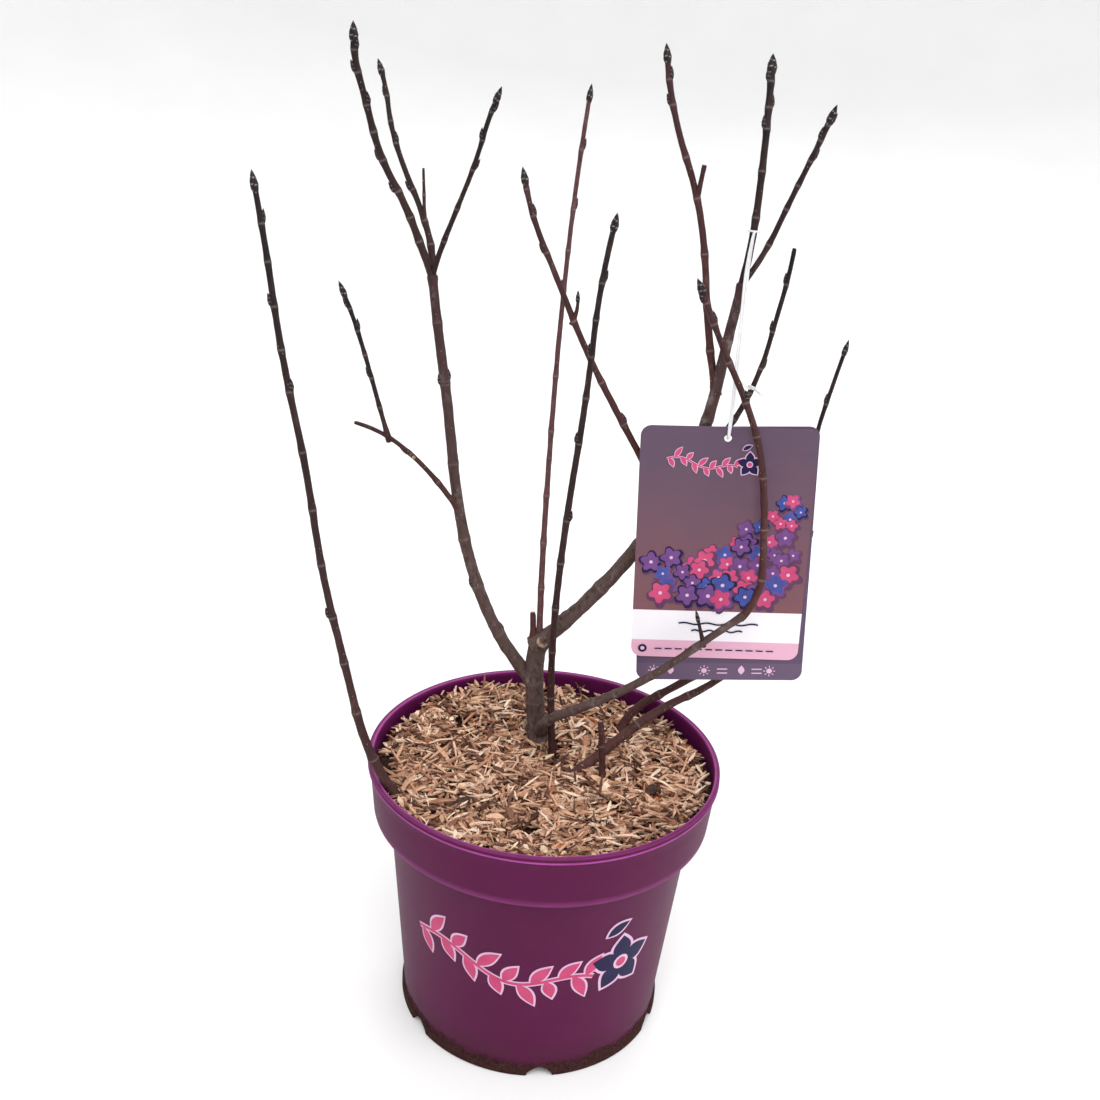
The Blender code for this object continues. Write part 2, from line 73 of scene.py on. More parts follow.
# Studio paper
PAPER_FLAT = 1100.0         # radius within which it lies flat
PAPER_CURVE = 2400.0        # radius of its upward curve
PAPER_RISE = 1200.0         # its upright edge above the curve
PAPER_SIDES = 96
PAPER_STEPS = 24            # corners along its curve
SKY_STRENGTH = 0.8
LIGHT_AIM = (0, 0, 0.25)    # metres, as are the lights' places and sizes
LIGHTS = (
    ("key_light", (-0.2, -1.3, 1.9), 1.4, 24),
    ("fill_light", (1.5, -0.8, 1.1), 1.6, 15),
    ("back_light", (0.2, 1.5, 1.6), 1.4, 14),
)

# Pot
POT_HEIGHT = 156.0
LIP_RADIUS = 95.3
LIP_HEIGHT = 3.6
COLLAR_TOP_RADIUS = 94.0
COLLAR_FOOT_RADIUS = 91.9
COLLAR_HEIGHT = 30.7
WALL_TOP_RADIUS = 83.0
WALL_FOOT_RADIUS = 73.2
FOOT_RADIUS = 74.5
FOOT_HEIGHT = 6.6
WALL = 1.6
FLOOR = 2.5
DRAIN_SHELF = 9.0
NOTCHES = 6
NOTCH_RADIUS = 7.5
NOTCH_RISE = 6.0
FIRST_NOTCH = -83.0
NOTCH_REACH = 14.0
NOTCH_SIDES = 40
POT_SIDES = 192
POT_SHARP = 38.0            # degrees from which an edge of the pot is sharp

# Growing medium
MEDIUM_LEVEL = 147.0
DISH_DEPTH = 8.0
DISH_PLACE = (2.0, 25.0)
DISH_SPREAD = 28.0
CHIPS = 5600
CHIP_REACH = 91.0
LONG_CHIPS = 0.34           # share of the chips that are long slivers
WIDE_CHIPS = 0.03
DARK_CHIPS = 0.17
RED_CHIPS = 0.012
CHIP_ROWS = 4               # rings of four corners along a chip
MOUNDS = ((4.6, (-46, 66), 26), (1.5, (-8, -78), 24))    # height, middle and spread
SOIL_RINGS = 46
SOIL_SIDES = 120

# Limbs
RING_STEP = 1.6
BUD_TIP = 9.0
SIDE_BUD = 6.2
BUD_WIDEST = 0.32           # share of a bud's length at which it is widest
BUD_FULLNESS = 1.5          # its radius there, against the shoot's
FLARE_LENGTH = 9.0
FLARE = 0.35
CLEAR = 0.3
ROOTED = 2.6                # length by which a limb is let into what carries it
BURIED = 5.0                # length by which a stem is let into the ground
OLD_SIDES = 28              # corners round old wood
SHOOT_SIDES = 18
OLD_MARK = 0.5              # strength of node marks on old wood, against young
END_SHARE = 0.72            # width of a cut or joined end's inner ring, against the limb's
BARK_SHARP = 60.0           # degrees from which an edge of the bark is sharp
BUD_RINGS = 22
STUB_RINGS = 8
NODE_RINGS = (-1.2, -0.5, 0.0, 0.5, 1.2)    # places of the finer rings round a node
NODE_SWELL = 0.17           # share by which a stem is thicker at a node
SCALES = 3.4                # turns of the scale edges round a bud

# Hang label
LABEL_PLANE = 14.0
LABEL_WIDTH = 89.0
FRONT_LEAF_DROP = 128.5
BACK_LEAF_DROP = 142.0
LABEL_CORNER = 5.5
LABEL_THICK = 0.5
CORNER_STEPS = 12
HOLE_SIDES = 40
LEAF_EDGE = 0.06            # radius of a leaf's softened edge
LABEL_LEAN = 2.7
BACK_LEAF_LEAN = 4.1
LABEL_TOP_MIDDLE = (80.9, 341.4)
HOLE_RADIUS = 1.9
HOLE_DROP = 6.0
HOLE_ASIDE = -1.0
TIE_ON_LEADER = 0.24
KNOT_ON_TWIG = 0.4          # share of the right back twig's length at which the tie's end is knotted
TIE_RADIUS = 0.6
PRINT_LIFT = 0.06           # lift of a print's first shape off its surface
INK_LIFT = 0.14             # lift of the ink that lies on the pale edges
PRINT_GIRTH = 78.0          # pot radius by which a place round it is turned into an angle
DISC_RINGS = 3
SHAPE_STEP = 0.0015         # lift from one printed shape to the next


# Shader maths

def operator(operation, reflected=False):
    """A method of Value that adds one Math node."""
    def applied(value, other):
        pair = (other, value) if reflected else (value, other)
        return value.maths(operation, *pair)

    return applied


class Value:
    """A number that varies over a surface; expressions on it add Math nodes."""

    def __init__(self, finish, socket):
        self.finish = finish
        self.socket = socket

    def maths(self, operation, first, second=0.0, clamp=False):
        made = self.finish.node("ShaderNodeMath", {"operation": operation, "use_clamp": clamp},
                                {0: first, 1: second})
        return Value(self.finish, made.outputs[0])

    __add__, __radd__ = operator("ADD"), operator("ADD", reflected=True)
    __sub__, __rsub__ = operator("SUBTRACT"), operator("SUBTRACT", reflected=True)
    __mul__, __rmul__ = operator("MULTIPLY"), operator("MULTIPLY", reflected=True)
    __truediv__ = operator("DIVIDE")
    __gt__, __lt__ = operator("GREATER_THAN"), operator("LESS_THAN")

    def held(self):
        """The same number kept between 0 and 1."""
        return self.maths("ADD", self, 0.0, clamp=True)


class Finish:
    """A material built on one Principled shader."""

    def __init__(self, name, roughness, specular=0.5, coat=0.0):
        self.material = bpy.data.materials.new(name)
        self.material.use_nodes = True
        self.tree = self.material.node_tree
        self.shader = self.tree.nodes["Principled BSDF"]
        self.shader.inputs["Roughness"].default_value = roughness
        self.shader.inputs["Specular IOR Level"].default_value = specular
        self.shader.inputs["Coat Weight"].default_value = coat

    def node(self, kind, settings, values):
        made = self.tree.nodes.new(kind)
        for key, setting in settings.items():
            if key == "stops":
                ramp = made.color_ramp.elements
                for spare in range(len(setting) - len(ramp)):
                    ramp.new(1.0)
                for element, (place, colour) in zip(ramp, setting):
                    element.position = place
                    element.color = colour
            else:
                setattr(made, key, setting)
        for key, value in values.items():
            if isinstance(value, Value):
                self.tree.links.new(value.socket, made.inputs[key])
            elif isinstance(value, bpy.types.NodeSocket):
                self.tree.links.new(value, made.inputs[key])
            else:
                made.inputs[key].default_value = value
        return made

    def place(self):
        return self.node("ShaderNodeTexCoord", {}, {}).outputs["Object"]

    def along(self, axis):
        """The surface's place along X, Y or Z, in millimetres."""
        parts = self.node("ShaderNodeSeparateXYZ", {}, {0: self.place()}).outputs
        return Value(self, parts[axis]) * 1000.0

    def carried(self, name):
        """A number that the mesh carries on its points."""
        made = self.node("ShaderNodeAttribute", {"attribute_name": name}, {})
        return Value(self, made.outputs["Fac"])

    def stretched(self, x, y, z):
        return self.node("ShaderNodeVectorMath", {"operation": "MULTIPLY"},
                         {0: self.place(), 1: (x, y, z)}).outputs[0]

    def cloud(self, size, detail=4.0, rough=0.55, where=None):
        """Soft noise whose patches are about size millimetres across."""
        made = self.node("ShaderNodeTexNoise", {}, {
            "Vector": where or self.place(), "Scale": 1000.0 / size, "Detail": detail, "Roughness": rough})
        return Value(self, made.outputs[0])

    def cells(self, size, where=None):
        """Distance to the nearest of scattered points about size millimetres apart."""
        made = self.node("ShaderNodeTexVoronoi", {}, {
            "Vector": where or self.place(), "Scale": 1000.0 / size})
        return Value(self, made.outputs["Distance"])

    def band(self, value, low, high, soft):
        """1 where the value lies between low and high, with soft edges."""
        rise = ((value - low) / soft + 0.5).held()
        fall = ((high - value) / soft + 0.5).held()
        return rise * fall

    def mix(self, share, first, second):
        made = self.node("ShaderNodeMix", {"data_type": "RGBA"}, {0: share, 6: first, 7: second})
        return made.outputs[2]

    def ramp(self, value, stops):
        return self.node("ShaderNodeValToRGB", {"stops": stops}, {0: value}).outputs[0]

    def colour(self, socket):
        self.tree.links.new(socket, self.shader.inputs["Base Color"])

    def rough(self, value):
        self.tree.links.new(value.socket, self.shader.inputs["Roughness"])

    def relief(self, height, depth):
        """Bump whose full height is depth millimetres."""
        made = self.node("ShaderNodeBump", {}, {"Distance": depth * MM, "Height": height})
        self.tree.links.new(made.outputs[0], self.shader.inputs["Normal"])


def rgb(red, green, blue):
    """Linear colour from the eight-bit values seen in daylight."""
    def linear(part):
        part = part / 255
        return part / 12.92 if part <= 0.04045 else ((part + 0.055) / 1.055) ** 2.4
    return (linear(red), linear(green), linear(blue), 1)


def bark_finish(name, young, old, skin, silver):
    """Bark that goes from young at the tips to old at the foot, with scars, pores and a silver skin."""
    bark = Finish(name, 0.6, 0.18)
    age = bark.carried("age")
    scar = bark.carried("scar")
    streaks = bark.cloud(2.2, 5.0, 0.6, bark.stretched(1.0, 1.0, 0.55))
    patches = bark.cloud(9.0, 3.0, 0.6, bark.stretched(1.0, 1.0, 0.5))
    base = bark.mix((age + (patches - 0.5) * 0.5).held(), young, old)
    darker = bark.mix(((streaks - 0.2) * 3.4).held(), rgb(36, 22, 22), base)
    skinned = ((patches - 0.55) * 5.0).held() * ((streaks - 0.4) * 3.0).held() * silver
    silvered = bark.mix(skinned.held(), darker, skin)
    pores = (bark.cells(2.4, bark.stretched(1.0, 1.0, 0.7)) < 0.11) * (1 - scar)
    dotted = bark.mix(pores * 0.5, silvered, rgb(150, 134, 126))
    bark.colour(bark.mix((scar * (0.3 + streaks)).held() * 0.6, dotted, rgb(150, 136, 132)))
    bark.rough((0.42 + age * 0.3 + streaks * 0.14).held())
    bark.relief(streaks * 0.7 + patches * 0.3 + pores * 0.5, 0.16)
    return bark.material


def bud_finish():
    bud = Finish("bud_scales", 0.45, 0.22)
    edge = bud.carried("edge")
    streaks = bud.cloud(0.9, 4.0, 0.6, bud.stretched(1.0, 1.0, 0.35))
    scales = bud.mix(streaks, rgb(9, 5, 7), rgb(36, 18, 21))
    bud.colour(bud.mix((edge * (streaks * 1.3 - 0.1)).held(), scales, rgb(176, 168, 170)))
    bud.rough((0.35 + edge * 0.35 + streaks * 0.1).held())
    bud.relief(streaks, 0.15)
    return bud.material


def cut_wood_finish():
    wood = Finish("cut_wood", 0.8, 0.3)
    grain = wood.cloud(0.8, 4.0)
    stain = wood.cloud(3.0, 3.0)
    base = wood.mix(grain, rgb(128, 104, 84), rgb(184, 160, 132))
    wood.colour(wood.mix(((stain - 0.42) * 4.0).held() * 0.85, base, rgb(52, 38, 34)))
    wood.relief(grain, 0.2)
    return wood.material


def pot_finish():
    pot = Finish("pot_plastic", 0.5, 0.12)
    height = pot.along("Z")
    soft = pot.cloud(38.0, 3.0)
    fine = pot.cloud(0.7, 3.0, 0.7)
    rings = pot.cloud(5.0, 3.0, 0.6, pot.stretched(0.06, 0.06, 1.0))
    base = pot.mix((soft * 0.8 + rings * 0.25).held(), rgb(70, 11, 50), rgb(84, 16, 62))
    inner = pot.mix(pot.carried("inside"), base, rgb(80, 14, 64))
    # Painted highlight: a lighter pink laid along the lip's top inner edge and its lower outer edge, as two
    # bright lines of glinting light
    worn = pot.carried("worn") * (0.55 + pot.cloud(9.0, 4.0) * 0.8)
    lip_highlighted = pot.mix(worn.held() * 0.75, inner, rgb(176, 78, 158))
    dust = ((pot.cloud(14.0, 6.0, 0.7) - 0.52) * 3.0).held() * 0.07
    dusty = pot.mix(dust, lip_highlighted, rgb(140, 84, 118))
    specks = (pot.cells(7.0) < 0.055) * (pot.cloud(30.0) > 0.5)
    speckled = pot.mix(specks * 0.6, dusty, rgb(48, 20, 34))
    ragged = pot.cloud(11.0, 6.0, 0.72)
    mud = ((16.5 - height - ragged * 14.0) / 2.4).held()
    film = ((44.0 - height - ragged * 36.0) / 18.0).held() * 0.5
    filmed = pot.mix(film, speckled, rgb(66, 22, 40))
    crumbs = pot.cloud(1.4, 5.0, 0.7)
    pot.colour(pot.mix(mud, filmed, pot.ramp(crumbs, ((0.3, rgb(20, 10, 12)), (0.7, rgb(74, 44, 42))))))
    pot.rough((0.46 + soft * 0.1 + mud * 0.5 + dust + worn * 0.1).held())
    pot.relief(fine * 0.12 + rings * 0.12 + crumbs * mud * 2.2 + mud * 0.8, 0.3)
    return pot.material


def chip_finish():
    chip = Finish("wood_chips", 0.85, 0.15)
    tone = chip.carried("tone")
    grain = chip.cloud(0.9, 5.0, 0.65)
    stain = chip.cloud(9.0, 4.0, 0.6)
    base = chip.ramp(tone, (
        (0.0, rgb(44, 28, 24)), (0.16, rgb(96, 64, 54)), (0.4, rgb(172, 126, 100)),
        (0.7, rgb(220, 178, 148)), (0.9, rgb(250, 228, 204)), (1.0, rgb(186, 110, 66))))
    grained = chip.mix(((grain - 0.5) * 2.4 + 0.3).held() * 0.5, base, rgb(128, 84, 62))
    chip.colour(chip.mix(((stain - 0.54) * 5.0).held() * 0.6, grained, rgb(88, 58, 46)))
    chip.relief(grain, 0.35)
    return chip.material


def crumbly_finish(name, roughness, specular, size, detail, depth, stops):
    """A dull finish whose colour and relief follow one noise."""
    crumbly = Finish(name, roughness, specular)
    crumbs = crumbly.cloud(size, detail, 0.7)
    crumbly.colour(crumbly.ramp(crumbs, stops))
    crumbly.relief(crumbs, depth)
    return crumbly.material


def label_finish(name, picture, bands):
    """Printed film: a picture ground with plain bands of colour at set drops below the leaf's top."""
    film = Finish(name, 0.34, 0.22)
    drop = 0.0 - film.along("Y")
    soft = film.cloud(26.0, 3.0)
    grain = film.cloud(5.0, 5.0, 0.6, film.stretched(0.25, 1.0, 1.0))
    shade = film.mix(((drop - 14.0) / 86.0 + (soft - 0.5) * 0.5).held(), *picture)
    shown = film.mix(((grain - 0.45) * 2.0).held() * 0.22, shade, rgb(70, 50, 66))
    for top, foot, colour in bands:
        shown = film.mix(film.band(drop, top, foot, 0.12), shown, colour)
    film.colour(shown)
    film.rough((0.24 + film.cloud(9.0) * 0.12).held())
    return film.material


def print_finish(name, first, second, size):
    """Ink with the slight unevenness of a real print."""
    ink = Finish(name, 0.5, 0.15)
    patch = ink.cloud(size, 4.0)
    ink.colour(ink.mix(patch, first, second))
    ink.rough((0.44 + patch * 0.12).held())
    return ink.material


def tie_finish():
    tie = Finish("tie_plastic", 0.35, 0.5)
    soft = tie.cloud(3.0)
    tie.colour(tie.mix(soft, rgb(214, 214, 216), rgb(246, 246, 248)))
    tie.rough((0.3 + soft * 0.2).held())
    tie.shader.inputs["Transmission Weight"].default_value = 0.25
    return tie.material


def floor_finish():
    floor = Finish("studio_paper", 0.9, 0.2)
    soft = floor.cloud(180.0, 2.0)
    floor.colour(floor.mix(soft, rgb(240, 240, 240), rgb(246, 246, 246)))
    return floor.material


# Meshes and pieces

def around(count):
    """Even turns round a circle, in radians."""
    return [2 * math.pi * step / count for step in range(count)]


def ring_round(centre, right, back, radii):
    """Points round a centre, one for each radius."""
    return [centre + (right * math.cos(turn) + back * math.sin(turn)) * radius
            for turn, radius in zip(around(len(radii)), radii)]


def bridge(low, high, count, closed=True, flipped=False):
    """Quads between two rows of count points, which start at low and at high."""
    quads = []
    for step in range(count if closed else count - 1):
        after = (step + 1) % count
        second, last = (high + step, low + after) if flipped else (low + after, high + step)
        quads.append((low + step, second, high + after, last))
    return quads


def quads_over(first, rows, count, looped=False, closed=True, flipped=False):
    """Quads over rows of count points; looped joins the last row to the first."""
    return [quad for row in range(rows if looped else rows - 1)
            for quad in bridge(first + row * count, first + (row + 1) % rows * count, count, closed, flipped)]


def tube_faces(first, rows, sides):
    """Faces of a tube of rings with both ends closed."""
    last = first + (rows - 1) * sides
    ends = [tuple(range(first + sides - 1, first - 1, -1)), tuple(range(last, last + sides))]
    return quads_over(first, rows, sides) + ends


def disc_faces(first, rings, sides):
    """Faces of a disc that is a middle point followed by its rings."""
    fan = [(first, first + 1 + step, first + 1 + (step + 1) % sides) for step in range(sides)]
    return fan + quads_over(first + 1, rings, sides, flipped=True)


def make_mesh(name, points, faces, materials=(), numbers=None):
    """Mesh from points in millimetres, with the numbers that its points carry."""
    mesh = bpy.data.meshes.new(name)
    mesh.from_pydata([[value * MM for value in point] for point in points], [], faces)
    for material in materials:
        mesh.materials.append(material)
    for number, values in (numbers or {}).items():
        mesh.attributes.new(number, "FLOAT", "POINT").data.foreach_set("value", values)
    return mesh


def turned_mesh(name, profile, sides, numbers=None):
    """Mesh of a profile turned about the upright axis; its corners begin with radius and height."""
    points = [(radius * math.cos(turn), radius * math.sin(turn), height)
              for turn in around(sides) for radius, height, *rest in profile]
    faces = quads_over(0, sides, len(profile), looped=True, closed=False)
    mesh = make_mesh(name, points, faces, numbers=numbers)
    shape = bmesh.new()
    shape.from_mesh(mesh)
    bmesh.ops.remove_doubles(shape, verts=shape.verts, dist=0.00001)
    bmesh.ops.recalc_face_normals(shape, faces=shape.faces)
    shape.to_mesh(mesh)
    shape.free()
    return mesh


def evaluated_mesh(thing, finish):
    """Mesh of an object as its modifiers or bevels leave it, in one finish."""
    bpy.context.view_layer.update()
    graph = bpy.context.evaluated_depsgraph_get()
    mesh = bpy.data.meshes.new_from_object(thing.evaluated_get(graph), depsgraph=graph)
    mesh.materials.clear()
    mesh.materials.append(finish)
    return mesh


def in_scene(name, data):
    """A new object in the scene."""
    made = bpy.data.objects.new(name, data)
    bpy.context.scene.collection.objects.link(made)
    return made


def settle(piece, replaced=()):
    """Ride a piece on the one body and hide the parts that it stands for."""
    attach(piece, "root")
    if replaced:
        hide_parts(*replaced)


def make_piece(name, points, faces, finish, replaced=(), numbers=None, smooth=True):
    """A settled piece of one finish."""
    mesh = make_mesh(name, points, faces, (finish,), numbers)
    if smooth:
        mesh.shade_smooth()
    settle(in_scene(name, mesh), replaced)


# Limbs, by the part's own rule

@dataclass
class Limb:
    """A stem that is steered by its lean at even steps along it.

    start is a place on the ground (x, y), or a parent limb, the share of its length and an offset.
    """

    start: tuple
    length: float
    lean: tuple                 # degrees to the right of upright, at even steps
    away: tuple                 # degrees away from the viewer, at even steps
    thick: tuple                # diameters at even steps
    buds: tuple = ()            # shares of the length, negative for a bud on the left
    ends: str = "bud"
    nodes: tuple = ()           # shares with only a scar ring
    age: tuple = (0.35, 0.0)    # how old the bark looks at the foot and at the tip

    @property
    def standing(self):
        """Whether the limb rises from the ground."""
        return not isinstance(self.start[0], str)


LIMBS = {
    # trunk and boughs
    "trunk": Limb(
        (-4.8, 36.0), 67, (-6, -6, 9), (-3,), (11, 10, 10.4), ends="cut", nodes=(0.4,), age=(1.0, 0.95)),
    "bough_left": Limb(
        ("trunk", 0.58), 233, (-45, -26, -14, -7, -10, -8), (3, 6), (7.8, 6.6, 6.2, 5.6, 5.2, 4.7),
        buds=(0.15, -0.28, 0.77, -0.762), ends="join", nodes=(0.4, 0.58, 0.9), age=(0.9, 0.0)),
    "bough_right": Limb(
        ("trunk", 0.95), 229, (43, 37, 30, 16, 6, 8), (-6, -3, 0), (8.6, 7.8, 7.2, 6.6, 5.6, 4.4),
        buds=(-0.09,), ends="join", nodes=(0.22, 0.36, 0.55, 0.7, 0.88), age=(1.0, 0.1)),
    "front_bough_low": Limb(
        ("trunk", 0.15, (3, -4.5, 0)), 152, (-15, 56, 56, 47, 51), (-62, -17, -4, 0, 4),
        (6.4, 5.4, 4.6, 4.0, 3.8), ends="join", nodes=(0.3, 0.47, 0.62, 0.8), age=(0.9, 0.5)),
    "front_bough_high": Limb(
        ("front_bough_low", 1.0), 180, (35, -4, -6, -11, -23, -30, -26, -26), (4, 2, 2),
        (3.7, 3.5, 3.2, 2.8), buds=(0.64, 0.87, -0.93), nodes=(0.12, 0.27, 0.42, 0.54, 0.76),
        age=(0.5, 0.1)),
    # shoots that stand in the pot
    "centre_shoot": Limb(
        ("trunk", 1.0), 290, (-2, 0, 1, 3, 6), (6, 10), (3.6, 2.9, 2.5, 2.2), buds=(-0.65, 0.79, 0.89),
        nodes=(0.1, 0.19, 0.28, 0.4, 0.5, 0.72), age=(0.6, 0.3)),
    "left_shoot": Limb(
        (-74.5, -40.0), 316, (-35, -12, -12, -6, -11, -7, -11), (0, -4, 3), (5.4, 4.0, 3.5, 3.3, 3.0, 2.38),
        buds=(-0.34, 0.7, -0.82, 0.93), nodes=(0.08, 0.17, 0.26, 0.43, 0.52, 0.61, 0.76, 0.88),
        age=(0.5, 0.0)),
    "front_shoot": Limb(
        (4.6, 22.4), 308, (-7, -1, 3, 5, 2, 10), (10, -10, -4, -6, -10, -16),
        (4.2, 3.7, 3.6, 3.3, 2.9, 2.6), buds=(0.48, -0.62, -0.77, 0.89),
        nodes=(0.12, 0.22, 0.31, 0.4, 0.7, 0.83), age=(0.4, 0.0)),
    "low_stem_outer": Limb(
        (18.6, 1.6), 303, (55, 55, 71, 47, 12, 7, 1, 12, 12), (26, 20, 8, 4),
        (6.0, 4.8, 3.8, 3.3, 2.9, 2.4, 2.1), buds=(-0.55, 0.7, -0.88),
        nodes=(0.14, 0.25, 0.35, 0.45, 0.62, 0.79), age=(0.8, 0.0)),
    "low_stem_inner": Limb(
        (41.8, 42.4), 168, (18, 64, 60, 45, 30, 22, 23), (18, 12, 6), (5.0, 4.4, 3.4, 2.4),
        buds=(-0.6, 0.8), nodes=(0.2, 0.35, 0.48, 0.7), age=(0.8, 0.1)),
    "cut_stub": Limb(
        (32.0, -7.3), 38, (-3, -8), (-4,), (3.8, 3.2), ends="cut", nodes=(0.6,), age=(0.7, 0.6)),
    "knob_stub": Limb(
        ("trunk", 0.97, (-3.0, 0.4, 0)), 17, (-3, -5), (3,), (3.6, 3.2), ends="cut", age=(0.9, 0.8)),
    # twigs of the left crown
    "left_leader": Limb(
        ("bough_left", 1.0), 125, (-22, -21, -30, -14, -15, 8), (-6, -10), (4.2, 3.6, 3.3, 3.0),
        buds=(-0.36, -0.49, 0.7, -0.82, 0.9), nodes=(0.15, 0.25, 0.6), age=(0.3, 0.0)),
    "left_second": Limb(
        ("bough_left", 1.0), 114, (-1, -21, -29, -23, -10, -26), (24, 14), (3.8, 3.0, 2.6, 2.4),
        buds=(-0.4, 0.62, -0.83), nodes=(0.14, 0.25, 0.72), age=(0.3, 0.1)),
    "left_thin": Limb(
        ("left_second", 0.25), 26, (-4,), (10,), (1.8, 1.4), ends="cut", nodes=(0.5,), age=(0.4, 0.3)),
    "left_third": Limb(
        ("bough_left", 1.0), 108, (16, 22, 22, 16, 26), (-20, -26), (3.0, 2.3, 2.2),
        buds=(0.59, -0.74, 0.88), nodes=(0.2, 0.38), age=(0.2, 0.0)),
    # twig low on the left bough
    "side_twig": Limb(
        ("bough_left", 0.467), 80, (-28, -35, -48, -75), (-24, -10), (3.2, 2.5, 2.0), buds=(-0.58,),
        ends="cut", nodes=(0.3, 0.77), age=(0.7, 0.3)),
    "side_riser": Limb(
        ("side_twig", 0.767), 87, (-14, -12, -14, -20), (-12, -18), (2.4, 2.2, 2.1),
        buds=(-0.39, 0.69, -0.83), nodes=(0.2, 0.54), age=(0.2, 0.0)),
    # twigs of the right crown
    "right_leader": Limb(
        ("bough_right", 1.0), 105, (9, 2, 0, -1), (4, 14), (3.8, 3.3, 3.2), buds=(-0.68, 0.77, -0.88),
        nodes=(0.3, 0.5), age=(0.2, 0.0)),
    "right_outer": Limb(
        ("bough_right", 1.0), 93, (31, 16, 17, 13), (-12, -22), (3.0, 2.5, 2.4), buds=(0.71, -0.82, 0.9),
        nodes=(0.25, 0.45, 0.58), age=(0.25, 0.0)),
    "right_inner": Limb(
        ("bough_right", 0.767), 166, (-15, -10, -7, -14, -24, -16, -6), (12, 9), (3.9, 3.5, 3.2, 2.7),
        buds=(-0.83, 0.9), nodes=(0.12, 0.25, 0.4, 0.56, 0.68), age=(0.5, 0.1)),
    "right_back": Limb(
        ("bough_right", 0.6), 120, (58, 35, 21, 11, 11, 4), (16, 12, 8), (3.4, 2.5, 2.3),
        buds=(0.49, -0.65, -0.85), ends="cut", nodes=(0.25, 0.38), age=(0.3, 0.0)),
    "cross_twig": Limb(
        ("bough_right", 0.467), 187, (-26, -33, -31, -26, -27, -11), (4, 4, 16), (3.7, 3.4, 3.0, 2.6),
        buds=(0.27, -0.77, 0.87), nodes=(0.14, 0.4, 0.58, 0.94), age=(0.4, 0.1)),
    "cross_spur": Limb(
        ("cross_twig", 0.583), 16, (21, -18), (-10,), (1.8, 1.5), age=(0.3, 0.1)),
    "front_spur": Limb(
        ("front_bough_low", 0.833), 21, (-17, -18), (-8,), (1.9, 1.5), age=(0.4, 0.1)),
}

MASSES = {
    "left_crown_twigs": ("left_leader", "left_second", "left_thin", "left_third"),
    "left_side_twigs": ("side_twig", "side_riser"),
    "right_crown_twigs": ("right_leader", "right_outer"),
    "right_inner_twigs": ("right_inner",),
    "right_back_twigs": ("right_back",),
    "crossing_twigs": ("cross_twig", "cross_spur"),
    "front_spur_twigs": ("front_spur",),
}
# Pruned stubs on a limb: share of its length, lean, away, length, width
STUBS = {
    "trunk": ((0.9, 20, -38, 9.5, 6.0), (0.13, -70, -12, 7.5, 5.4)),
    "right_inner": ((0.56, 6, -6, 16, 2.2),),
    "side_twig": ((0.54, -8, -70, 2.6, 1.8),),
}
OLD_WOOD = ("trunk", "bough_left", "bough_right", "front_bough_low")


def between(stations, share):
    """Value at a share of the way along evenly spaced stations."""
    place = share * (len(stations) - 1)
    low = min(int(place), max(len(stations) - 2, 0))
    high = min(low + 1, len(stations) - 1)
    return stations[low] + (stations[high] - stations[low]) * (place - low)


def hump(off, spread):
    """1 at no distance, falling smoothly to 0."""
    return math.exp(-(off / spread) ** 2)


def steered(lean, away):
    """Direction so many degrees to the right of upright and away from the viewer."""
    lean, away = math.radians(lean), math.radians(away)
    return Vector((math.sin(lean) * math.cos(away), math.sin(away), math.cos(lean) * math.cos(away)))


def heading(limb, share):
    return steered(between(limb.lean, share), between(limb.away, share))


def heap(x, y, place, spread):
    """1 at a place on the ground, falling smoothly to 0 round it."""
    return math.exp(-(math.hypot(x - place[0], y - place[1]) / spread) ** 2 / 2)


def ground(x, y):
    """Height of the growing medium's surface."""
    return MEDIUM_LEVEL - DISH_DEPTH * heap(x, y, DISH_PLACE, DISH_SPREAD)


def limb_start(limb):
    if not limb.standing:
        parent, share, *offset = limb.start
        return limb_point(LIMBS[parent], share) + Vector(offset[0] if offset else (0, 0, 0))
    x, y = limb.start
    reach = limb.thick[0] * 0.9
    rim = [ground(x + reach * math.cos(turn), y + reach * math.sin(turn)) for turn in around(12)]
    return Vector((x, y, max(rim) + CLEAR))


def limb_point(limb, share, steps=60):
    """Place on the limb's centre line, found by walking along its headings."""
    place = limb_start(limb)
    pace = limb.length * share / steps
    for step in range(steps):
        place = place + heading(limb, share * (step + 0.5) / steps) * pace
    return place


def square_to(along):
    """Two directions square to a heading: towards the right, and away from the viewer."""
    right = Vector((0, 1, 0)).cross(along).normalized()
    return right, along.cross(right).normalized()


